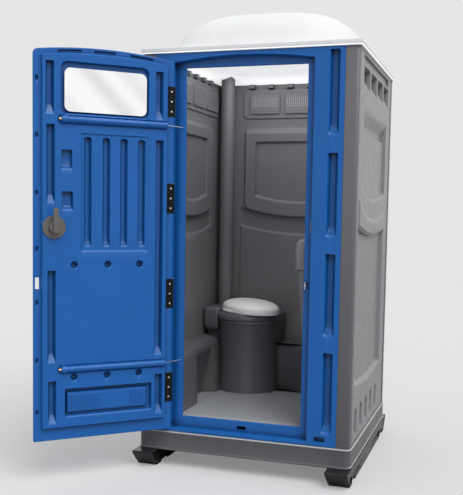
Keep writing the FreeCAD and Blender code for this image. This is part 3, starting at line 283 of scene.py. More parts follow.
class Sheet:
    """A moulded sheet, built up from reliefs, holes and rounded corners."""

    def __init__(self, u, v):
        self.limits = (u, v)
        self.marks = ([], [])
        self.sides = {"front": [], "back": []}
        self.holes = []
        self.corners = []

    def mark(self, axis, start, end, step):
        count = max(1, math.ceil(abs(end - start) / step))
        self.marks[axis].extend(np.linspace(start, end, count + 1))

    def mark_edges(self, axis, low, high, low_ramp, high_ramp, radius):
        for edge, way, ramp in ((low, 1, low_ramp), (high, -1, high_ramp)):
            self.mark(axis, edge, edge + way * ramp, max(FINE_STEP, ramp / 4))
            if radius > ramp:
                self.mark(axis, edge + way * ramp, edge + way * radius, radius / 3)

    def carve(self, u, v, depth, ramps=(6, 6, 6, 6), radius=0.0, side="front", crisp=False):
        """Raise or sink a rectangle, with a ramp inside its left, right, bottom and top edges."""
        left, right, bottom, top = ramps
        curved = callable(v[0]) or callable(v[1])
        self.mark_edges(0, u[0], u[1], left, right, radius)
        if curved:
            across = np.linspace(u[0], u[1], 60)
            reach = [edge(across) if callable(edge) else np.array([edge]) for edge in v]
            for edge, way, ramp in ((reach[0], 1, bottom), (reach[1], -1, top)):
                ends = (edge.min() + min(0, way * ramp), edge.max() + max(0, way * ramp))
                self.mark(1, *ends, CURVED_STEP)
        else:
            self.mark_edges(1, v[0], v[1], bottom, top, radius)

        def relief(across, up, height):
            low, high = (edge(across) if callable(edge) else edge for edge in v)
            to_side = (across - u[0], u[1] - across, up - low, high - up)
            share = np.minimum.reduce([gap / max(ramp, 0.01) for gap, ramp in zip(to_side, ramps)])
            if radius:
                near = np.maximum(radius - np.minimum(to_side[0], to_side[1]), 0)
                under = np.maximum(radius - np.minimum(to_side[2], to_side[3]), 0)
                corner = (radius - np.hypot(near, under)) / max(min(ramps), 0.01)
                share = np.minimum(share, corner)
            share = np.clip(share, 0, 1)
            if not crisp:
                share = smooth(share)
            return height + depth * share

        self.sides[side].append(relief)

    def dimple(self, u, v, radii, depth):
        """A round or oval hollow in the front."""
        self.mark(0, u - radii[0], u + radii[0], max(FINE_STEP, radii[0] / 5))
        self.mark(1, v - radii[1], v + radii[1], max(FINE_STEP, radii[1] / 5))

        def relief(across, up, height):
            out = np.hypot((across - u) / radii[0], (up - v) / radii[1])
            return height + depth * smooth(np.clip((1 - out) * 1.6, 0, 1))

        self.sides["front"].append(relief)

    def round_corner(self, u_way, v_way, radius):
        """Round one corner of the sheet: each way is -1 or 1."""
        for axis, way in enumerate((u_way, v_way)):
            edge = self.limits[axis][way > 0]
            self.mark(axis, edge, edge - way * radius, radius / 6)
        self.corners.append((u_way, v_way, radius))

    def drawn_in(self, across, up):
        """Grid points with each rounded corner's square pressed into a quarter disc."""
        for u_way, v_way, radius in self.corners:
            centre_u = self.limits[0][u_way > 0] - u_way * radius
            centre_v = self.limits[1][v_way > 0] - v_way * radius
            a = np.clip((across - centre_u) * u_way / radius, 0, 1)
            b = np.clip((up - centre_v) * v_way / radius, 0, 1)
            inside = (a > 0) & (b > 0)
            drawn_u = centre_u + u_way * radius * a * np.sqrt(1 - b * b / 2)
            drawn_v = centre_v + v_way * radius * b * np.sqrt(1 - a * a / 2)
            across = np.where(inside, drawn_u, across)
            up = np.where(inside, drawn_v, up)
        return across, up

    def cut(self, u, v):
        """A rectangular hole through the sheet."""
        for axis, (low, high) in enumerate((u, v)):
            self.mark(axis, low, high, high - low)
            self.mark(axis, low - 3, low, FINE_STEP)
            self.mark(axis, high, high + 3, FINE_STEP)
        self.holes.append((u, v))

    def lines(self, axis):
        """The grid's lines along one axis: close beside the rim, the marks and the holes."""
        low, high = self.limits[axis]
        rim = (0.0, 0.8, 2.0, 4.0)
        fixed = [low + gap for gap in rim] + [high - gap for gap in rim]
        fixed += [edge for hole in self.holes for edge in hole[axis]]
        chosen = sorted(fixed)
        for value in sorted(self.marks[axis]):
            if low < value < high and min(abs(value - other) for other in chosen) >= NEAREST:
                chosen.append(value)
        chosen = sorted(set(chosen))
        full = [chosen[0]]
        for value in chosen[1:]:
            parts = math.ceil((value - full[-1]) / PLAIN_STEP)
            full.extend(np.linspace(full[-1], value, parts + 1)[1:])
        return np.array(full)

    def heights(self, side, across, up, start):
        height = np.full(across.shape, float(start))
        for relief in self.sides[side]:
            height = relief(across, up, height)
        return height

    def rounding(self, across, up, radius):
        """How far the surface falls away beside the sheet's rim and beside its holes."""
        (u0, u1), (v0, v1) = self.limits
        gap = np.minimum.reduce([across - u0, u1 - across, up - v0, v1 - up])
        for (h0, h1), (k0, k1) in self.holes:
            beside = np.maximum(np.maximum(h0 - across, across - h1), 0)
            over = np.maximum(np.maximum(k0 - up, up - k1), 0)
            gap = np.minimum(gap, np.hypot(beside, over))
        into = np.clip(radius - gap, 0, radius)
        return radius - np.sqrt(radius * radius - into * into)

    def build(self, name, place, front, back, edge=3.0):
        """Make the mesh: place(u, v, height) gives x, y and z."""
        u_lines, v_lines = self.lines(0), self.lines(1)
        across, up = np.meshgrid(u_lines, v_lines, indexing="ij")
        fall = self.rounding(across, up, edge) * math.copysign(1, front - back)
        layers = (
            self.heights("front", across, up, front) - fall,
            self.heights("back", across, up, back) + fall,
        )
        placed = self.drawn_in(across, up)
        points = [np.stack(place(*placed, layer), axis=-1).reshape(-1, 3) for layer in layers]
        kept = np.ones((len(u_lines) - 1, len(v_lines) - 1), bool)
        for (h0, h1), (k0, k1) in self.holes:
            inside_u = (u_lines[:-1] >= h0 - 0.01) & (u_lines[1:] <= h1 + 0.01)
            inside_v = (v_lines[:-1] >= k0 - 0.01) & (v_lines[1:] <= k1 + 0.01)
            kept[np.ix_(inside_u, inside_v)] = False
        index = np.arange(across.size).reshape(across.shape)
        corners = np.stack([index[:-1, :-1], index[1:, :-1], index[1:, 1:], index[:-1, 1:]], axis=-1)
        faces = corners[kept]
        behind = faces[:, ::-1] + across.size
        framed = np.pad(kept, 1)
        rows, columns = kept.shape
        walls = []
        for first, second, row, column in ((3, 0, 0, 1), (1, 2, 2, 1), (0, 1, 1, 0), (2, 3, 1, 2)):
            beside = framed[row:row + rows, column:column + columns]
            rim = corners[kept & ~beside]
            a, b = rim[:, first], rim[:, second]
            walls.append(np.stack([b, a, a + across.size, b + across.size], axis=-1))
        return mesh_object(name, np.concatenate(points), np.concatenate([faces, behind, *walls]))


def mesh_object(name, points, faces, sharp=38.0):
    """A closed mesh from points in millimetres, smooth but for its sharp edges."""
    mesh = bpy.data.meshes.new(name)
    mesh.from_pydata((np.asarray(points) * MM).tolist(), [], [list(map(int, face)) for face in faces])
    work = bmesh.new()
    work.from_mesh(mesh)
    loose = [vertex for vertex in work.verts if not vertex.link_faces]
    bmesh.ops.delete(work, geom=loose, context="VERTS")
    bmesh.ops.recalc_face_normals(work, faces=work.faces)
    work.to_mesh(mesh)
    work.free()
    mesh.polygons.foreach_set("use_smooth", [True] * len(mesh.polygons))
    mesh.set_sharp_from_angle(angle=math.radians(sharp))
    obj = bpy.data.objects.new(name, mesh)
    bpy.context.scene.collection.objects.link(obj)
    return obj


def loft(name, rings, sharp=38.0, closed=False):
    """A closed body through rings of the same number of points: fans over its ends, or a closed loop."""
    rings = [np.asarray(ring, float) for ring in rings]
    count = len(rings[0])
    points = np.concatenate(rings + [rings[0].mean(axis=0)[None], rings[-1].mean(axis=0)[None]])
    faces = []
    for level in range(len(rings) - (not closed)):
        base, above = level * count, (level + 1) % len(rings) * count
        for i in range(count):
            j = (i + 1) % count
            faces.append((base + i, base + j, above + j, above + i))
    if closed:
        return mesh_object(name, points, faces, sharp)
    first, last = len(rings) * count, len(rings) * count + 1
    for i in range(count):
        j = (i + 1) % count
        faces.append((first, j, i))
        faces.append((last, first - count + i, first - count + j))
    return mesh_object(name, points, faces, sharp)


CORNER_STEPS = 6


def outline(x, y, radius):
    """A rounded rectangle as points, anticlockwise from the right-hand front corner."""
    points = []
    for cx, cy, start in (
        (x[1] - radius, y[0] + radius, -90),
        (x[1] - radius, y[1] - radius, 0),
        (x[0] + radius, y[1] - radius, 90),
        (x[0] + radius, y[0] + radius, 180),
    ):
        for step in range(CORNER_STEPS + 1):
            angle = math.radians(start + 90 * step / CORNER_STEPS)
            points.append((cx + radius * math.cos(angle), cy + radius * math.sin(angle)))
    return np.array(points)


def level_ring(points, z):
    return np.column_stack([points, np.full(len(points), float(z))])


def turns(count):
    """Angles evenly once round."""
    return np.linspace(0, 2 * math.pi, count, endpoint=False)


def circle(centre, radius, count):
    turn = turns(count)
    return np.column_stack([centre[0] + radius * np.cos(turn), centre[1] + radius * np.sin(turn)])


make_camera()
materials = make_materials()
slot_of = {row["node"]: row["material_slot"] for row in frame["record"]["subparts"]}

for node, obj in frame["nodes"].items():
    obj.data.materials.clear()
    obj.data.materials.append(materials[slot_of[node]])
    for polygon in obj.data.polygons:
        polygon.material_index = 0


def dress(obj, slot, body, *nodes):
    """Give a piece its material and body, in place of the nodes that it stands for."""
    obj.data.materials.append(materials[slot])
    if nodes:
        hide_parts(*nodes)
    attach(obj, body)
    return obj


def arc(half, middle, end, centre=0.0):
    """A height that bends from middle, at the centre, to end, at half to either side."""
    return lambda across: middle + (end - middle) * ((across - centre) / half) ** 2


# Door.

HINGE = (-378.0, -571.0)
DOOR_TURN = math.radians(-136)
DOOR = ((7.0, 709.0), (207.0, 2057.0))
ARCH_RISE = 27.0
FLANGE = 18.0
OUTER_FACE = 6.0
BODY = ((42.0, 676.0), (266.0, 2032.0))
BODY_RISE = 22.0
BODY_FACE = FLANGE + BODY_RISE
ARCH_FOOT = 2009
ARCH_BLEND = 21
CLOSERS = (1740.0, 555.0)


def door_point(along, out, up):
    across = HINGE[0] + along * math.cos(DOOR_TURN) - out * math.sin(DOOR_TURN)
    deep = HINGE[1] + along * math.sin(DOOR_TURN) + out * math.cos(DOOR_TURN)
    return across, deep, up


def bend(along, span):
    """How far the door's arched top rises at a place along it."""
    middle = (span[0] + span[1]) / 2
    half = (span[1] - span[0]) / 2
    return ARCH_RISE * (1 - ((along - middle) / half) ** 2)


def on_door(along, up, out):
    share = np.clip((up - ARCH_FOOT) / ARCH_BLEND, 0, 1)
    return door_point(along, out, up + share * bend(along, DOOR[0]))


GROOVE_WIDTH = 40
GROOVE_DEPTH = -22
GROOVES = (
    (635, 1760, 2006), (631, 1343, 1715), (627, 587, 1030), (624, 291, 500),
    (93, 1764, 1999), (89, 595, 1665), (84, 297, 500),
)
MIRROR_FRAME = ((146, 584), (1764, 2010))
MIRROR_PLACE = ((166, 562), (1772, 1984))
MIRROR_SEAT = 12.0
FLUTES = (452, 360, 272, 181)
FLUTE_HALF = 20
POCKETS = (((528, 581), (1504, 1600)), ((524, 578), (1312, 1404)))
DIMPLE_ROWS = (1056, 514)
DIMPLES = (517, 352, 189)
EDGE_DIMPLES = (1925, 1663, 1394, 1132, 876, 600, 349)
EDGE_DIMPLES_ALONG = 691
TOP_SLOTS = ((475, 594), (310, 420), (117, 239))
STAPLE_SLOT = ((682, 700), (943, 997))
OUTSIDE_PANELS = ((1240, 1990), (270, 1160))


def make_door():
    sheet = Sheet(*DOOR)
    sheet.carve(*BODY, BODY_RISE, (10, 10, 9, 6), radius=14)
    sheet.carve(*MIRROR_FRAME, -17, (10, 6, 14, 5), radius=36)
    sheet.carve(*MIRROR_PLACE, MIRROR_SEAT, (4, 4, 6, 4), radius=36)
    for centre, low, high in GROOVES:
        reach = (centre - GROOVE_WIDTH / 2, centre + GROOVE_WIDTH / 2)
        sheet.carve(reach, (low, high), GROOVE_DEPTH, (10, 10, 44, 3), crisp=True)
    for height in CLOSERS:
        sheet.carve((48, 598), (height - 22, height + 21), -5, (5, 5, 4, 3), radius=12)
    sheet.carve((147, 487), (1116, 1680), -5, (6, 6, 9, 3), radius=8)
    for centre in FLUTES:
        sheet.carve((centre - FLUTE_HALF, centre + FLUTE_HALF), (1138, 1664), -19, (11, 11, 30, 4), radius=18)
    for pocket in POCKETS:
        sheet.carve(*pocket, -20, (6, 6, 26, 3), radius=7)
    for height in DIMPLE_ROWS:
        for across in DIMPLES:
            sheet.dimple(across, height, (20, 19), -20)
    sheet.carve((120, 564), (320, 460), -19, (9, 9, 15, 4), radius=12)
    sheet.carve((142, 556), (336, 446), 13, (9, 9, 9, 8), radius=8)
    for height in EDGE_DIMPLES:
        sheet.dimple(EDGE_DIMPLES_ALONG, height, (9, 15), -10)
    for slot in TOP_SLOTS:
        sheet.carve(slot, (2031, 2047), -8, (7, 7, 7, 5), radius=7)
    sheet.cut(*STAPLE_SLOT)
    for panel in OUTSIDE_PANELS:
        sheet.carve((60, 656), panel, 3, (10, 10, 10, 10), radius=24, side="back")
    sheet.round_corner(1, 1, 22)
    sheet.round_corner(1, -1, 8)
    sheet.round_corner(-1, 1, 8)
    shell = sheet.build("door_shell", on_door, FLANGE, OUTER_FACE)
    dress(shell, "frame_blue", "door", "door_outer_skin", "door_inner_skin")


VENT_PANEL = ((156.0, 544.0), (350.0, 432.0))
DOT_FIELDS = (((172, 241), (358, 424)), ((394, 537), (358, 424)))
DOT_PITCH = 11.5
DOT_HALF = 3.2


def make_door_vent():
    """The vent's panel: a raised pad with two fields of small square holes."""
    sheet = Sheet(*VENT_PANEL)
    for (left, right), (low, high) in DOT_FIELDS:
        for across in np.arange(left, right, DOT_PITCH):
            for up in np.arange(low, high, DOT_PITCH):
                sheet.cut((across - DOT_HALF, across + DOT_HALF), (up - DOT_HALF, up + DOT_HALF))
    panel = sheet.build("door_vent_panel", on_door, BODY_FACE - 3.4, BODY_FACE - 7, edge=0.6)
    dress(panel, "frame_blue", "door", "door_vent_grille")


# Closers: a tube on the door, its screw at the free end, and a steel cord to the frame.

TUBE = (54.0, 580.0)
TUBE_RADIUS = 19.0


TUBE_OUT = BODY_FACE + 3
TUBE_SIDES = 40


def tube_ring(along, height, radius):
    """A ring round a closer tube's axis, which runs along the door."""
    turn = turns(TUBE_SIDES)
    around = np.full(TUBE_SIDES, along)
    points = door_point(around, TUBE_OUT + radius * np.cos(turn), height + radius * np.sin(turn))
    return np.column_stack(points)


TUBE_PROFILE = (
    (TUBE[0], 14), (TUBE[0] + 1, 16), (TUBE[0] + 3, 17), (TUBE[0] + 14, 17), (TUBE[0] + 16, 15.5),
    (TUBE[1] - 30, 15.5), (TUBE[1] - 27, TUBE_RADIUS - 1), (TUBE[1] - 3, TUBE_RADIUS - 1),
    (TUBE[1] - 1, TUBE_RADIUS - 2), (TUBE[1], TUBE_RADIUS - 4),
)


def make_closers():
    tubes = []
    for height in CLOSERS:
        rings = [tube_ring(along, height, radius) for along, radius in TUBE_PROFILE]
        tubes.append(loft("closer_tube", rings))
    dress(join(tubes, "closer_tubes"), "frame_blue", "door")


# Front frame.

WALL_FOOT = 185.0
WALL_TOP = 2105.0
FRAME = ((-482.0, 482.0), (WALL_FOOT, WALL_TOP))
FRONT_FACE = -565.0
FRAME_BACK = -515.0
REBATE = ((-384.0, 333.5), (204.5, 2059.5))
DOORWAY = ((-330.0, 295.5), (262.0, 2035.0))
BOLT_POCKET = (1224.0, 1286.0)
HEAD_BLEND = ((2036, 20), (2100, 38))
SIDE_BLEND = 30
JAMB_POCKETS = (246, 725, 1206, 1690)


def on_front(across, up, out):
    """A place on the frame: beside the door's head the sheet bends along with the arch."""
    (foot, rise), (top, fall) = HEAD_BLEND
    share = np.clip((up - foot) / rise, 0, 1) * np.clip((top - up) / fall, 0, 1)
    left, right = REBATE[0]
    from_left = np.clip((across - left + SIDE_BLEND) / SIDE_BLEND, 0, 1)
    from_right = np.clip((right + SIDE_BLEND - across) / SIDE_BLEND, 0, 1)
    curve = np.maximum(bend(across, REBATE[0]), 0)
    return across, out, up + share * (from_left * from_right) * curve


def make_front_frame():
    sheet = Sheet(*FRAME)
    sheet.carve(*REBATE, 36, (3, 2, 5, 5), radius=7)
    for low in JAMB_POCKETS:
        sheet.carve((404, 458), (low, low + 402), 28, (16, 16, 58, 4), radius=16)
        sheet.dimple(431, low + 12, (30, 14), 6)
    sheet.carve((371, 427), (207, 233), 18, (5, 5, 5, 4), radius=12)
    sheet.carve((-36, 14), (217, 238), 14, (5, 5, 4, 3), radius=9)
    sheet.cut(*DOORWAY)
    sheet.cut((330.5, 335.5), BOLT_POCKET)
    sheet.carve((333.0, 366), BOLT_POCKET, -46, (0.1, 2, 2, 2), side="back")
    shell = sheet.build("front_frame_shell", on_front, FRONT_FACE, FRAME_BACK)
    dress(shell, "frame_blue", "cabin", "front_frame")


# Walls.

VENT_HEIGHTS = (1926.0, 2034.0)
VENT_HALF = 91.0
VENT_PITCH = 219.0
INNER_PANEL = 350.0


def vent_places(count):
    return [(place - (count - 1) / 2) * VENT_PITCH for place in range(count)]


OUTSIDE_HALF = 515
FOOT_SLOTS = (-400, -240, -80, 80, 240)


def carve_outside(sheet, half, vents):
    """The outer side of a wall, from its top channel to the arched slots at its foot."""
    share = half / OUTSIDE_HALF
    bow = 440 * share
    sheet.carve((-425 * share, 414 * share), (2046, 2088), -12, (5, 5, 10, 3), radius=8)
    for centre in vent_places(vents):
        sheet.carve((centre - 94, centre + 94), (1922, 2034), -20, (7, 7, 62, 4), radius=26)
    window = (arc(380 * share, 1383, 1430), 1838)
    sheet.carve((-389 * share, 378 * share), window, -16, (12, 12, 22, 96), radius=10)
    sheet.carve((-372 * share, 361 * share), (1724, 1838), -12, (8, 8, 7, 100), radius=10)
    band = (arc(bow, 1214, 1256), arc(bow, 1292, 1384))
    sheet.carve((-481 * share, 372 * share), band, 8, (12, 12, 4, 26))
    lower = (arc(bow, 438, 470), arc(bow, 1207, 1248))
    sheet.carve((-475 * share, 378 * share), lower, -21, (14, 14, 24, 4), radius=12)
    for place in FOOT_SLOTS:
        sheet.carve((place * share - 40, place * share + 40), (206, 352), -22, (10, 10, 50, 8), radius=36)


TEETH = (-303.0, -182.0, -61.0, 61.0, 182.0, 303.0)


def carve_inside(sheet, window, vents):
    """The inner side of a wall, from the teeth under the roof to the skirt."""

    def shape(u, v, rise, ramps, radius=0.0):
        sheet.carve(u, v, -rise, ramps, radius, side="back")

    panel = INNER_PANEL
    skirt = panel + 22
    row = max(vent_places(vents)) + VENT_HALF + 52
    shape((-row, row), (1896, 2079), 8, (7, 7, 4, 9), 30)
    for centre in vent_places(vents):
        shape((centre - VENT_HALF - 8, centre + VENT_HALF + 8), (1926, 2044), 8, (6, 6, 4, 7), 16)
    shape((-panel, panel), (arc(panel, 1290, 1345), 1842), 20, (16, 16, 9, 38), 44)
    shape((-window, window), (arc(window, 1376, 1420), 1755), -16, (9, 9, 15, 4), 18)
    shape((-skirt, skirt), (300, arc(skirt, 1196, 1247)), 4, (14, 14, 30, 4))
    shape((-skirt, skirt), (arc(skirt, 1182, 1233), arc(panel, 1290, 1345)), -9, (14, 14, 14, 3))
    for place in TEETH:
        shape((place - 20, place + 20), (2078, WALL_TOP), 22, (4, 4, 5, 0.1))


SCREEN_PITCH = 12.5
SCREEN_HOLE = 1.9
SCREEN_REACH = 75
SCREEN_THICKNESS = 3
SCREEN_DEPTH = 14


def vent_screen(node, vents, place, level):
    """Perforated plates in a wall's vents, about flush with the raised pads round them."""
    name = f"{node}_screen_plates"
    low, high = VENT_HEIGHTS
    parts = []
    for centre in vent_places(vents):
        sheet = Sheet((centre - VENT_HALF, centre + VENT_HALF), VENT_HEIGHTS)
        for across in np.arange(centre - SCREEN_REACH, centre + SCREEN_REACH + 1, SCREEN_PITCH):
            for up in np.arange(low + 10, high - 9, SCREEN_PITCH):
                sheet.cut((across - SCREEN_HOLE, across + SCREEN_HOLE), (up - SCREEN_HOLE, up + SCREEN_HOLE))
        parts.append(sheet.build(name, place, level, level - SCREEN_THICKNESS, edge=0.4))
    dress(join(parts, name), "wall_grey", "cabin", f"{node}_screens")


def join(parts, name):
    """Several pieces of one kind as one object."""
    with bpy.context.temp_override(active_object=parts[0], selected_editable_objects=parts):
        bpy.ops.object.join()
    parts[0].name = name
    return parts[0]


VENT_GAP = (1972, VENT_HEIGHTS[1] - 6)


def make_wall(node, half, place, faces, vents, window):
    """A wall's shell and the plates in its vents. faces are its outer and inner distance from the centre."""
    front, back = faces
    sheet = Sheet((-half, half), (WALL_FOOT, WALL_TOP))
    carve_outside(sheet, half, vents)
    carve_inside(sheet, window, vents)
    for centre in vent_places(vents):
        sheet.cut((centre - VENT_HALF + 4, centre + VENT_HALF - 4), VENT_GAP)
    dress(sheet.build(f"{node}_shell", place, front, back), "wall_grey", "cabin", node)
    vent_screen(node, vents, place, back - SCREEN_DEPTH)


def make_walls():
    def on_right(along, up, out):
        return out, along, up

    def on_left(along, up, out):
        return -out, along, up

    def on_rear(along, up, out):
        return along, out, up

    make_wall("right_wall", 515, on_right, (547, 510), 4, 240)
    make_wall("left_wall", 515, on_left, (547, 510), 4, 240)
    make_wall("rear_wall", 482, on_rear, (562, 525), 3, 278)


# Roof.

ROOF_LIP = (559.0, 574.0)
ROOF_BASE = 2135.0
ROOF_RISE = 215.0
ROOF_SKIN = 5
ROOF_ROOM = (498, 513)
ROOF_GRID = 16
DOME_HALF = (528, 543)
DOME_SQUARENESS = 3.4
DOME_FULLNESS = 4.6
UNDERSIDE_ABOVE = 2.107


def flat(across, along, up):
    """The place of a sheet that lies level."""
    return across, along, up


def roof_height(across, along):
    """The dome stands up from a flat border and rounds off towards its middle."""
    power = DOME_SQUARENESS
    out = (np.abs(across / DOME_HALF[0]) ** power + np.abs(along / DOME_HALF[1]) ** power) ** (1 / power)
    share = np.clip(1 - out, 0, 1)
    crown = np.clip(1 - (1 - share) ** DOME_FULLNESS, 0, 1)
    return ROOF_BASE + ROOF_RISE * crown * np.clip(share * 9, 0, 1) ** 0.35


def make_roof():
    sheet = Sheet((-ROOF_LIP[0], ROOF_LIP[0]), (-ROOF_LIP[1], ROOF_LIP[1]))
    for axis in (0, 1):
        sheet.mark(axis, -ROOF_LIP[axis], ROOF_LIP[axis], ROOF_GRID)

    def dome(across, along, height):
        return roof_height(across, along)

    def under(across, along, height):
        gap = np.minimum(ROOF_ROOM[0] - np.abs(across), ROOF_ROOM[1] - np.abs(along))
        inside = np.clip(gap / 8, 0, 1)
        return WALL_TOP + (roof_height(across, along) - ROOF_SKIN - WALL_TOP) * inside

    sheet.sides["front"].append(dome)
    sheet.sides["back"].append(under)
    shell = sheet.build("roof_shell", flat, ROOF_BASE, WALL_TOP, edge=6)
    dress(shell, "roof_white", "cabin", "roof")
    # Painted glow: the dome's underside gets a second, paler and glowing material.
    shell.data.materials.append(painted_glow_roof())
    for face in shell.data.polygons:
        if face.normal.z < 0 and face.center.z > UNDERSIDE_ABOVE:
            face.material_index = 1


def painted_glow_roof():
    """The underside of the dome, painted to glow as if the daylight above shone through it; it glows brighter
    for the camera than for other rays.
    """
    shader = moulded_plastic("roof_white_painted_glow", (0.9, 0.91, 0.92), 0.6, grain=0.1, edge=1.0)
    glow = shader.mix(shader.noise(1.5), (0.94, 0.95, 0.96), (1.0, 1.0, 1.0))
    shader.link(glow, shader.surface.inputs["Emission Color"])
    path = shader.add("ShaderNodeLightPath")
    shown = shader.between(path.outputs["Is Camera Ray"], 0.1, 0.62, 0.0, 1.0)
    shader.link(shown, shader.surface.inputs["Emission Strength"])
    return shader.material


# Base and skids.

ROOM = ((-500.0, 500.0), (-513.0, 515.0))
BASE = ((-558.0, 558.0), (-573.0, 573.0))
BASE_CORNER = 34.0
BASE_PROFILE = (
    (6, 85), (1, 86), (0, 88), (0, 94), (2.5, 97), (2.5, 170), (0, 174), (0, 180), (1.5, 183.5), (6, 185),
)
FLOOR_UNDER = 244
UPPER_LIP = (179, 186)
LOWER_LIP = (88, 99)


def base_ring(inset, z):
    x, y = BASE
    plan = outline((x[0] + inset, x[1] - inset), (y[0] + inset, y[1] - inset), BASE_CORNER - inset)
    return level_ring(plan, z)


def make_base():
    """The plinth: a lip runs round its top edge and another round its foot."""
    rings = [base_ring(inset, z) for inset, z in BASE_PROFILE]
    rings.append(level_ring(outline((-503, 503), (-508, 517), 10), 185))
    rings += [level_ring(outline(*ROOM, 8), z) for z in (186, FLOOR_UNDER)]
    shell = dress(loft("base_shell", rings), "base_grey", "cabin", "base_tray")
    # Painted highlight: the lips' upward-sloping faces take the paler copy, at the foot only those on the
    # sides.
    shell.data.materials.append(painted_lip_highlight())
    for face in shell.data.polygons:
        height = face.center.z / MM
        upper = UPPER_LIP[0] < height < UPPER_LIP[1]
        beside = abs(face.normal.x) > abs(face.normal.y)
        lower = beside and LOWER_LIP[0] < height < LOWER_LIP[1]
        if 0.15 < face.normal.z < 0.97 and (upper or lower):
            face.material_index = 1


def painted_lip_highlight():
    """A painted highlight for the plinth's lips: a paler copy of the base grey."""
    return moulded_plastic("base_grey_painted_highlight", (0.36, 0.36, 0.37), 0.3).material


SKID_END = 645.0
SKID_TOP = 85
SKID_EDGES = ((6, 0.0), (2, 0.3), (0, 1.0))
OUTER_LEAN = 2.25
INNER_LEAN = 9
STRAP_NOTCH = (132.0, 228.0)
NOTCH_DEPTH = 30.0
SKID_SIDES = {"left_skid": (-560.0, -445.0), "right_skid": (445.0, 560.0)}


def make_skid(name):
    """A skid: a tapering foot at each end, a strap notch behind it and a long runner between."""
    start, end = (edge - SKID_END for edge in STRAP_NOTCH)
    bottom = [(-570, 0), (start, 0), (start + 6, NOTCH_DEPTH), (end - 6, NOTCH_DEPTH), (end, 0)]
    bottom += [(-way, z) for way, z in reversed(bottom)]
    top = [(640, 70), (645, 79), (641, SKID_TOP), (-641, SKID_TOP), (-645, 79), (-640, 70)]
    side = np.array(bottom + top, float)
    centre = side.mean(axis=0)
    left, right = SKID_SIDES[name]
    rings = []
    for face, way, edges in ((left, 1, SKID_EDGES), (right, -1, SKID_EDGES[::-1])):
        lean = way * (OUTER_LEAN if way * face < 0 else INNER_LEAN)
        for inset, share in edges:
            drawn = side - np.sign(side - centre) * (1 - share) * 4
            foot = (SKID_TOP - drawn[:, 1]) / SKID_TOP
            rings.append(np.column_stack([face + way * inset + foot * lean, drawn]))
    dress(loft(f"{name}_shell", rings, 30), "skid_black", "cabin", name)


# Tank, riser, rim, seat and lid.

RISER = (-232.0, 285.0)
RIM = (-238.0, 285.0)
SEAT = (-219.0, 288.0)
LID = (-219.0, 290.0)
LID_SKEW = 0.2
LID_TILT = 0.04
MOUTH = (-216.0, 283.0)
REAR = 512.0
OVAL_SIDES = 72
ROUND_SIDES = 96
APRON_DRAW = 0.2


def oval_ring(centre, half_x, half_y, z):
    turn = turns(OVAL_SIDES)
    plan = np.column_stack([centre[0] + half_x * np.cos(turn), centre[1] + half_y * np.sin(turn)])
    return level_ring(plan, z)


def apron_ring(centre, radius, z):
    """A plan that is round in front and runs straight back to the wall, drawn in beside the vent pipe."""
    turn = turns(ROUND_SIDES)
    across, deep = np.cos(turn), np.sin(turn)
    behind = deep > 0
    back = np.clip(deep * math.sqrt(2), 0, 1)
    wide = np.where(behind, np.clip(across * math.sqrt(2), -1, 1), across)
    wide = wide * np.where(behind & (across < 0), 1 - APRON_DRAW * back, 1)
    along = np.where(behind, (REAR - centre[1]) * back, radius * deep)
    return level_ring(np.column_stack([centre[0] + radius * wide, centre[1] + along]), z)


def block(name, points, levels):
    """An upright body over a plan of points: each level is its height and how far its outline is drawn in."""
    ahead = np.roll(points, -1, axis=0) - points
    behind = points - np.roll(points, 1, axis=0)
    outward = np.zeros(points.shape)
    for way in (ahead, behind):
        outward += np.column_stack([way[:, 1], -way[:, 0]]) / np.hypot(*way.T)[:, None]
    outward /= np.hypot(*outward.T)[:, None]
    return loft(name, [level_ring(points - outward * inset, z) for z, inset in levels])


def tank_plan():
    """The low tank's outline: its front swings back towards the riser."""
    turn = np.linspace(0, 1, 16)
    sweep = np.column_stack([310 - 360 * turn, 234 + 96 * smooth(turn)])
    corner = circle((468, 262), 28, 64)[48:64]
    back = [(across, REAR) for across in (496, 120, -216, -496)]
    rest = np.array(back + [(-496, 300), (-300, 300), (-180, 330)])
    return np.concatenate([sweep[::-1], corner, rest])


TANK_LEVELS = ((251, 2), (254, 0), (506, 0), (518, 2), (528, 8), (534, 20))
DECK_LEVELS = ((251, 3), (640, 3), (678, 0), (687, 3), (692, 10))
SHOULDER_LEVELS = ((598, 36), (610, 18), (628, 5), (650, 0), (722, 0), (734, 2), (741, 7), (745, 15))
RISER_WALL = (
    (251, 172), (259, 172), (266, 170), (658, 171), (664, 174),
    (666, 177), (680, 177), (683, 174), (685, 170),
)
RISER_BORE = ((685, 99), (680, 97), (400, 92))
RIM_OUTSIDE = (
    (686, 176), (685, 180), (688, 183), (702, 183), (708, 181), (712, 176), (722, 164), (724, 160),
)
RIM_BORE = ((724, 112), (719, 104), (700, 101), (688, 103))


def bored(name, centre, outside, bore, closed=False):
    """A body whose outside runs back to the wall, with the tank's mouth through it."""
    rings = [apron_ring(centre, radius, z) for z, radius in outside]
    rings += [level_ring(circle(MOUTH, radius, ROUND_SIDES), z) for z, radius in bore]
    return loft(name, rings, 30, closed)


def make_tank():
    """The tank: a low block, the deck under the vent pipe, the shoulder on the left and the riser."""
    parts = [
        block("waste_tank_shell", tank_plan(), TANK_LEVELS),
        block("deck", outline((-497, -214), (262, REAR), 24), DECK_LEVELS),
        block("shoulder", outline((-497, -390), (206, 414), 26), SHOULDER_LEVELS),
        bored("riser", RISER, RISER_WALL, RISER_BORE),
    ]
    dress(join(parts, "waste_tank_shell"), "tank_charcoal", "cabin", "waste_tank")


def make_rim():
    """The riser's rim: a rolled outer edge that slopes up to a flat ring under the seat."""
    rim = bored("riser_rim_shell", RIM, RIM_OUTSIDE, RIM_BORE, closed=True)
    dress(rim, "tank_charcoal", "cabin", "riser_rim")


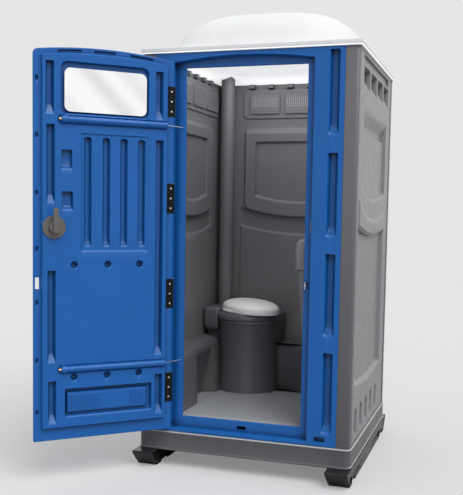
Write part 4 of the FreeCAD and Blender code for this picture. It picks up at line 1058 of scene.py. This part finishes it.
SEAT_HALF = (172, 158)
SEAT_PROFILE = (
    (727, 0.94), (725, 0.97), (729, 1.0), (737, 1.0), (742, 0.96), (744, 0.9),
    (744, 0.76), (742, 0.66), (736, 0.62), (731, 0.64), (729, 0.7),
)


def make_seat():
    """The seat's ring, rounded outside and inside."""
    rings = [oval_ring(SEAT, SEAT_HALF[0] * share, SEAT_HALF[1] * share, z) for z, share in SEAT_PROFILE]
    dress(loft("toilet_seat_shell", rings, closed=True), "seat_white", "cabin", "toilet_seat")


def lid_ring(half_x, half_y, z):
    """The lid's outline, turned a little towards the front right and lower on that side."""
    ring = oval_ring(LID, half_x, half_y, z)
    across = ring[:, 0] - LID[0]
    ring[:, 1] -= LID_SKEW * across
    ring[:, 2] -= LID_TILT * across
    return ring


LID_SKIRT = (
    (166, 158, 755), (177, 167, 753), (177.5, 167, 725), (178.5, 168, 722),
    (181, 170, 723), (182, 171, 730), (182, 171, 748),
)
LID_DOME = (181, 170, 752)
LID_RISE = 44
LID_STEPS = 15


def make_lid():
    """A domed lid with a skirt that comes down over the seat's edge."""
    rings = [lid_ring(*level) for level in LID_SKIRT]
    half_x, half_y, foot = LID_DOME
    for step in range(1, LID_STEPS):
        turn = math.radians(90 * step / LID_STEPS)
        wide = math.cos(turn) ** 0.68
        rings.append(lid_ring(half_x * wide, half_y * wide, foot + LID_RISE * math.sin(turn) ** 1.15))
    dress(loft("lid_shell", rings, 60), "seat_white", "lid", "toilet_lid")


# Floor, fairings and posts.

FLOOR_TOP = 250
RIB_PITCH = 56
RIB_WIDTH = 30


def make_floor_panel():
    """The floor: a low raised field with soft ribs across it and a threshold along the doorway."""
    sheet = Sheet(*ROOM)
    sheet.carve((-372, 372), (-470, 205), 5, (14, 14, 18, 14), radius=26)
    for along in np.arange(-430, 190, RIB_PITCH):
        sheet.carve((-350, 350), (along, along + RIB_WIDTH), 0.8, (12, 12, 12, 12), radius=12)
    sheet.carve((-330, 330), (-509, -484), 7, (9, 9, 5, 9), radius=9)
    panel = sheet.build("floor_panel_shell", flat, FLOOR_TOP, FLOOR_UNDER, edge=1.5)
    dress(panel, "floor_grey", "cabin", "floor_panel")


FAIRING_REACH = ((247, 126), (258, 124), (500, 112), (536, 104), (556, 90), (570, 66), (577, 36), (580, 8))
FAIRING_TOP = 580.0
FAIRING_RUN = (-512, 228)
FAIRING_STEPS = 60
KICK_DEPTH = 84
KICK = (-190, 140)
KICK_RAMPS = (80, 56)


def make_fairing(name, side):
    """The moulded bench along the foot of a side wall, with a kick recess before its rear end."""
    along = np.linspace(*FAIRING_RUN, FAIRING_STEPS)
    near = smooth(np.clip((along - KICK[0]) / KICK_RAMPS[0], 0, 1))
    far = smooth(np.clip((KICK[1] - along) / KICK_RAMPS[1], 0, 1))
    dip = KICK_DEPTH * near * far
    end = np.minimum(1, ((FAIRING_RUN[1] - along) / 34).clip(0, 1) ** 0.5 + 0.55)
    wall = np.column_stack([np.full(FAIRING_STEPS, side * ROOM[0][1]), along[::-1]])
    rings = []
    for z, reach in FAIRING_REACH:
        fade = np.clip((FAIRING_TOP - 60 - z) / 240, 0, 1) ** 0.7
        face = np.column_stack([side * (ROOM[0][1] - (reach - dip * fade) * end), along])
        plan = np.concatenate([face, wall])
        rings.append(level_ring(plan if side < 0 else plan[::-1], z + 0.5))
    dress(loft(f"{name}_shell", rings, 50), "base_grey", "cabin", name)


POST_INNER = (482, 515)
POST_OUTER = (550, 565)
POST_EDGE = 2
POST_CORNER = 15
POST_LEVELS = ((WALL_FOOT, 1.5), (WALL_FOOT + 2, 0), (WALL_TOP - 2, 0), (WALL_TOP, 1.5))


def make_post(name, side, end):
    """A corner post: its outer corner is rounded and the other three are crisp."""
    way = np.array((side, end))
    outer = way * POST_OUTER
    plan = outline(*np.sort([way * POST_INNER, outer], axis=0).T, POST_EDGE)
    rounded = np.hypot(*(plan - outer).T) < 3 * POST_EDGE
    from_centre = plan[rounded] - (outer - way * POST_EDGE)
    plan[rounded] = outer - way * POST_CORNER + from_centre * POST_CORNER / POST_EDGE
    dress(block(f"{name}_shell", plan, POST_LEVELS), "base_grey", "cabin", name)


URINAL_CORNER = 26
COLUMN_INSET = (39, 70)
HEAD_INSET = (13, 16)
HEAD_FOOT = 1036
BROW = ((10, 1037), (2, 1040), (0, 1046), (0, 1150), (3, 1166), (10, 1180), (22, 1188), (34, 1190))
BASIN = ((44, 1189), (50, 1180), (64, 1062), (90, 1052))
BASIN_BACK = 12


def make_urinal():
    """The urinal: a rounded brow over a column that narrows to its foot."""
    low, high = limits("urinal")

    def ring(inset, z, corner, back=0):
        front, beside = inset
        x = (low[0] + front, high[0] - back)
        return level_ring(outline(x, (low[1] + beside, high[1] - beside), corner), z)

    rings = [ring(COLUMN_INSET, z, URINAL_CORNER) for z in (low[2], low[2] + 4)]
    rings.append(ring(HEAD_INSET, HEAD_FOOT, URINAL_CORNER))
    rings += [ring((inset, inset), z, max(30 - inset / 3, 8)) for inset, z in BROW]
    rings += [ring((inset, inset), z, 20, BASIN_BACK) for inset, z in BASIN]
    dress(loft("urinal_shell", rings, 45), "wall_grey", "cabin", "urinal")


# Closer cords: each is taut from its tube's mouth on the door to the plate behind the jamb.

CORD_RADIUS = 2.0
CORD_START = (52.5, 48.0)
CORD_END = (-341.333, -515.5)
CORD_STATIONS = 25
CORD_SIDES = 12


def make_cord(index, height):
    start = np.array(door_point(CORD_START[0], CORD_START[1], height))
    end = np.array((*CORD_END, height))
    share = np.linspace(0, 1, CORD_STATIONS)[:, None]
    path = start + (end - start) * share
    run = (end - start) / np.linalg.norm(end - start)
    beside = np.array((-run[1], run[0], 0.0))
    upward = np.array((0.0, 0.0, 1.0))
    turn = turns(CORD_SIDES)[:, None]
    ring = CORD_RADIUS * (np.cos(turn) * beside + np.sin(turn) * upward)
    cord = loft(f"closer_cord_{index}", [point + ring for point in path], 60)
    cord.data.materials.append(materials["cord_steel"])
    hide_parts("closer_cords")
    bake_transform(cord)


# Pieces that keep their solids get softened edges.

SOFTENED = (
    (4.0, ["lock_lever"]),
    (3.0, ["vent_pipe", "lock_boss", "paper_holder", "indicator_housing", "pull_handle"]),
    (2.0, ["pipe_collar", "lock_spindle", "paper_roll", "seat_brackets"]),
    (1.5, [f"{carrier}_hinge_leaf_{number}" for number in (1, 2, 3, 4) for carrier in ("door", "frame")]),
    (1.2, ["catch_slot_liner", "closer_screws"]),
    (1.0, ["padlock_staple", "roof_bolts"]),
    (0.6, ["bolt_keeper", "door_hinge_screws", "frame_hinge_screws"]),
)
WELD_GAP = 0.00001
SOFTENED_FROM = 35


def soften(node, width):
    """Weld the solid's corners and round its edges."""
    obj = frame["nodes"][node]
    weld = obj.modifiers.new("weld", "WELD")
    weld.merge_threshold = WELD_GAP
    bevel = obj.modifiers.new("bevel", "BEVEL")
    bevel.width = width * MM
    bevel.segments = 3
    bevel.limit_method = "ANGLE"
    bevel.angle_limit = math.radians(SOFTENED_FROM)


make_door()
make_closers()
make_front_frame()
make_walls()
make_roof()
make_base()
make_skid("left_skid")
make_skid("right_skid")
make_door_vent()
make_tank()
make_rim()
make_seat()
make_lid()
make_floor_panel()
make_fairing("left_fairing", -1)
make_fairing("right_fairing", 1)
for end, end_way in (("front", -1), ("rear", 1)):
    for side, side_way in (("left", -1), ("right", 1)):
        make_post(f"{end}_{side}_post", side_way, end_way)
make_urinal()
for index, height in enumerate(CLOSERS, 1):
    make_cord(index, height)
for width, nodes in SOFTENED:
    for node in nodes:
        soften(node, width)


# Light, floor and background.

SKY = 0.62
SKY_TOP = 0.95
BACKGROUND = 0.79
MIRRORED = 0.95
ROOM_LIGHT = 5.0
FLOOR_GLOW = 0.22
WHITE = (1.0, 1.0, 1.01, 1)
KEY_STRENGTH = 2.2
KEY_SPREAD = 40
KEY_WAY = (-0.46, 0.42, -0.78)
ROOM_LIGHT_SIDE = 0.8
ROOM_LIGHT_PLACE = (0.0, 0.0, 2.16)


def make_sky():
    """An even sky that is a little brighter overhead, and the pale background that the camera sees."""
    world = bpy.data.worlds.new("studio")
    bpy.context.scene.world = world
    world.use_nodes = True
    add, link = world.node_tree.nodes.new, world.node_tree.links.new
    light = world.node_tree.nodes["Background"]
    fill(light, Color=(1.0, 1.0, 1.0, 1))
    way, parts = add("ShaderNodeTexCoord"), add("ShaderNodeSeparateXYZ")
    rise = add("ShaderNodeMapRange")
    fill(rise, From_Min=0.1, From_Max=0.9, To_Min=SKY, To_Max=SKY_TOP)
    link(way.outputs["Generated"], parts.inputs["Vector"])
    link(parts.outputs["Z"], rise.inputs["Value"])
    link(rise.outputs["Result"], light.inputs["Strength"])
    path = add("ShaderNodeLightPath")
    result = light.outputs["Background"]
    for ray, strength in (("Glossy", MIRRORED), ("Transmission", MIRRORED), ("Camera", BACKGROUND)):
        shown = add("ShaderNodeBackground")
        fill(shown, Color=WHITE, Strength=strength)
        mix = add("ShaderNodeMixShader")
        link(path.outputs[f"Is {ray} Ray"], mix.inputs["Fac"])
        link(result, mix.inputs[1])
        link(shown.outputs["Background"], mix.inputs[2])
        result = mix.outputs["Shader"]
    link(result, world.node_tree.nodes["World Output"].inputs["Surface"])


def add_lamp(name, kind, energy):
    data = bpy.data.lights.new(name, kind)
    data.energy = energy
    lamp = bpy.data.objects.new(name, data)
    bpy.context.scene.collection.objects.link(lamp)
    return lamp


def make_key_light():
    """A broad, soft sun from above on the right, in front of the cabin."""
    lamp = add_lamp("key", "SUN", KEY_STRENGTH)
    lamp.data.angle = math.radians(KEY_SPREAD)
    lamp.rotation_mode = "QUATERNION"
    lamp.rotation_quaternion = Vector(KEY_WAY).to_track_quat("-Z", "Y")


def make_room_light():
    """Soft light under the roof, as daylight comes through it."""
    lamp = add_lamp("under_roof", "AREA", ROOM_LIGHT)
    lamp.data.shape = "RECTANGLE"
    lamp.data.size = ROOM_LIGHT_SIDE
    lamp.data.size_y = ROOM_LIGHT_SIDE
    lamp.location = ROOM_LIGHT_PLACE
    lamp.visible_camera = False


def make_floor():
    """The pale floor that the cabin stands on."""
    bpy.ops.mesh.primitive_plane_add(size=120, location=(0, 0, -0.001))
    floor = bpy.context.object
    floor.name = "studio_floor"
    shader = Shader("studio_floor")
    shader.set(Roughness=1.0, Specular_IOR_Level=0.0)
    path = shader.add("ShaderNodeLightPath")
    seen = shader.mix(shader.noise(3.0), (0.40, 0.40, 0.405), (0.41, 0.41, 0.415))
    shader.link(seen, shader.surface.inputs["Base Color"])
    glow = shader.between(path.outputs["Is Camera Ray"], 0.0, FLOOR_GLOW, 0.0, 1.0)
    shader.set(Emission_Color=WHITE)
    shader.link(glow, shader.surface.inputs["Emission Strength"])
    floor.data.materials.append(shader.material)


make_sky()
make_key_light()
make_room_light()
make_floor()
bpy.context.scene.view_settings.view_transform = "Standard"
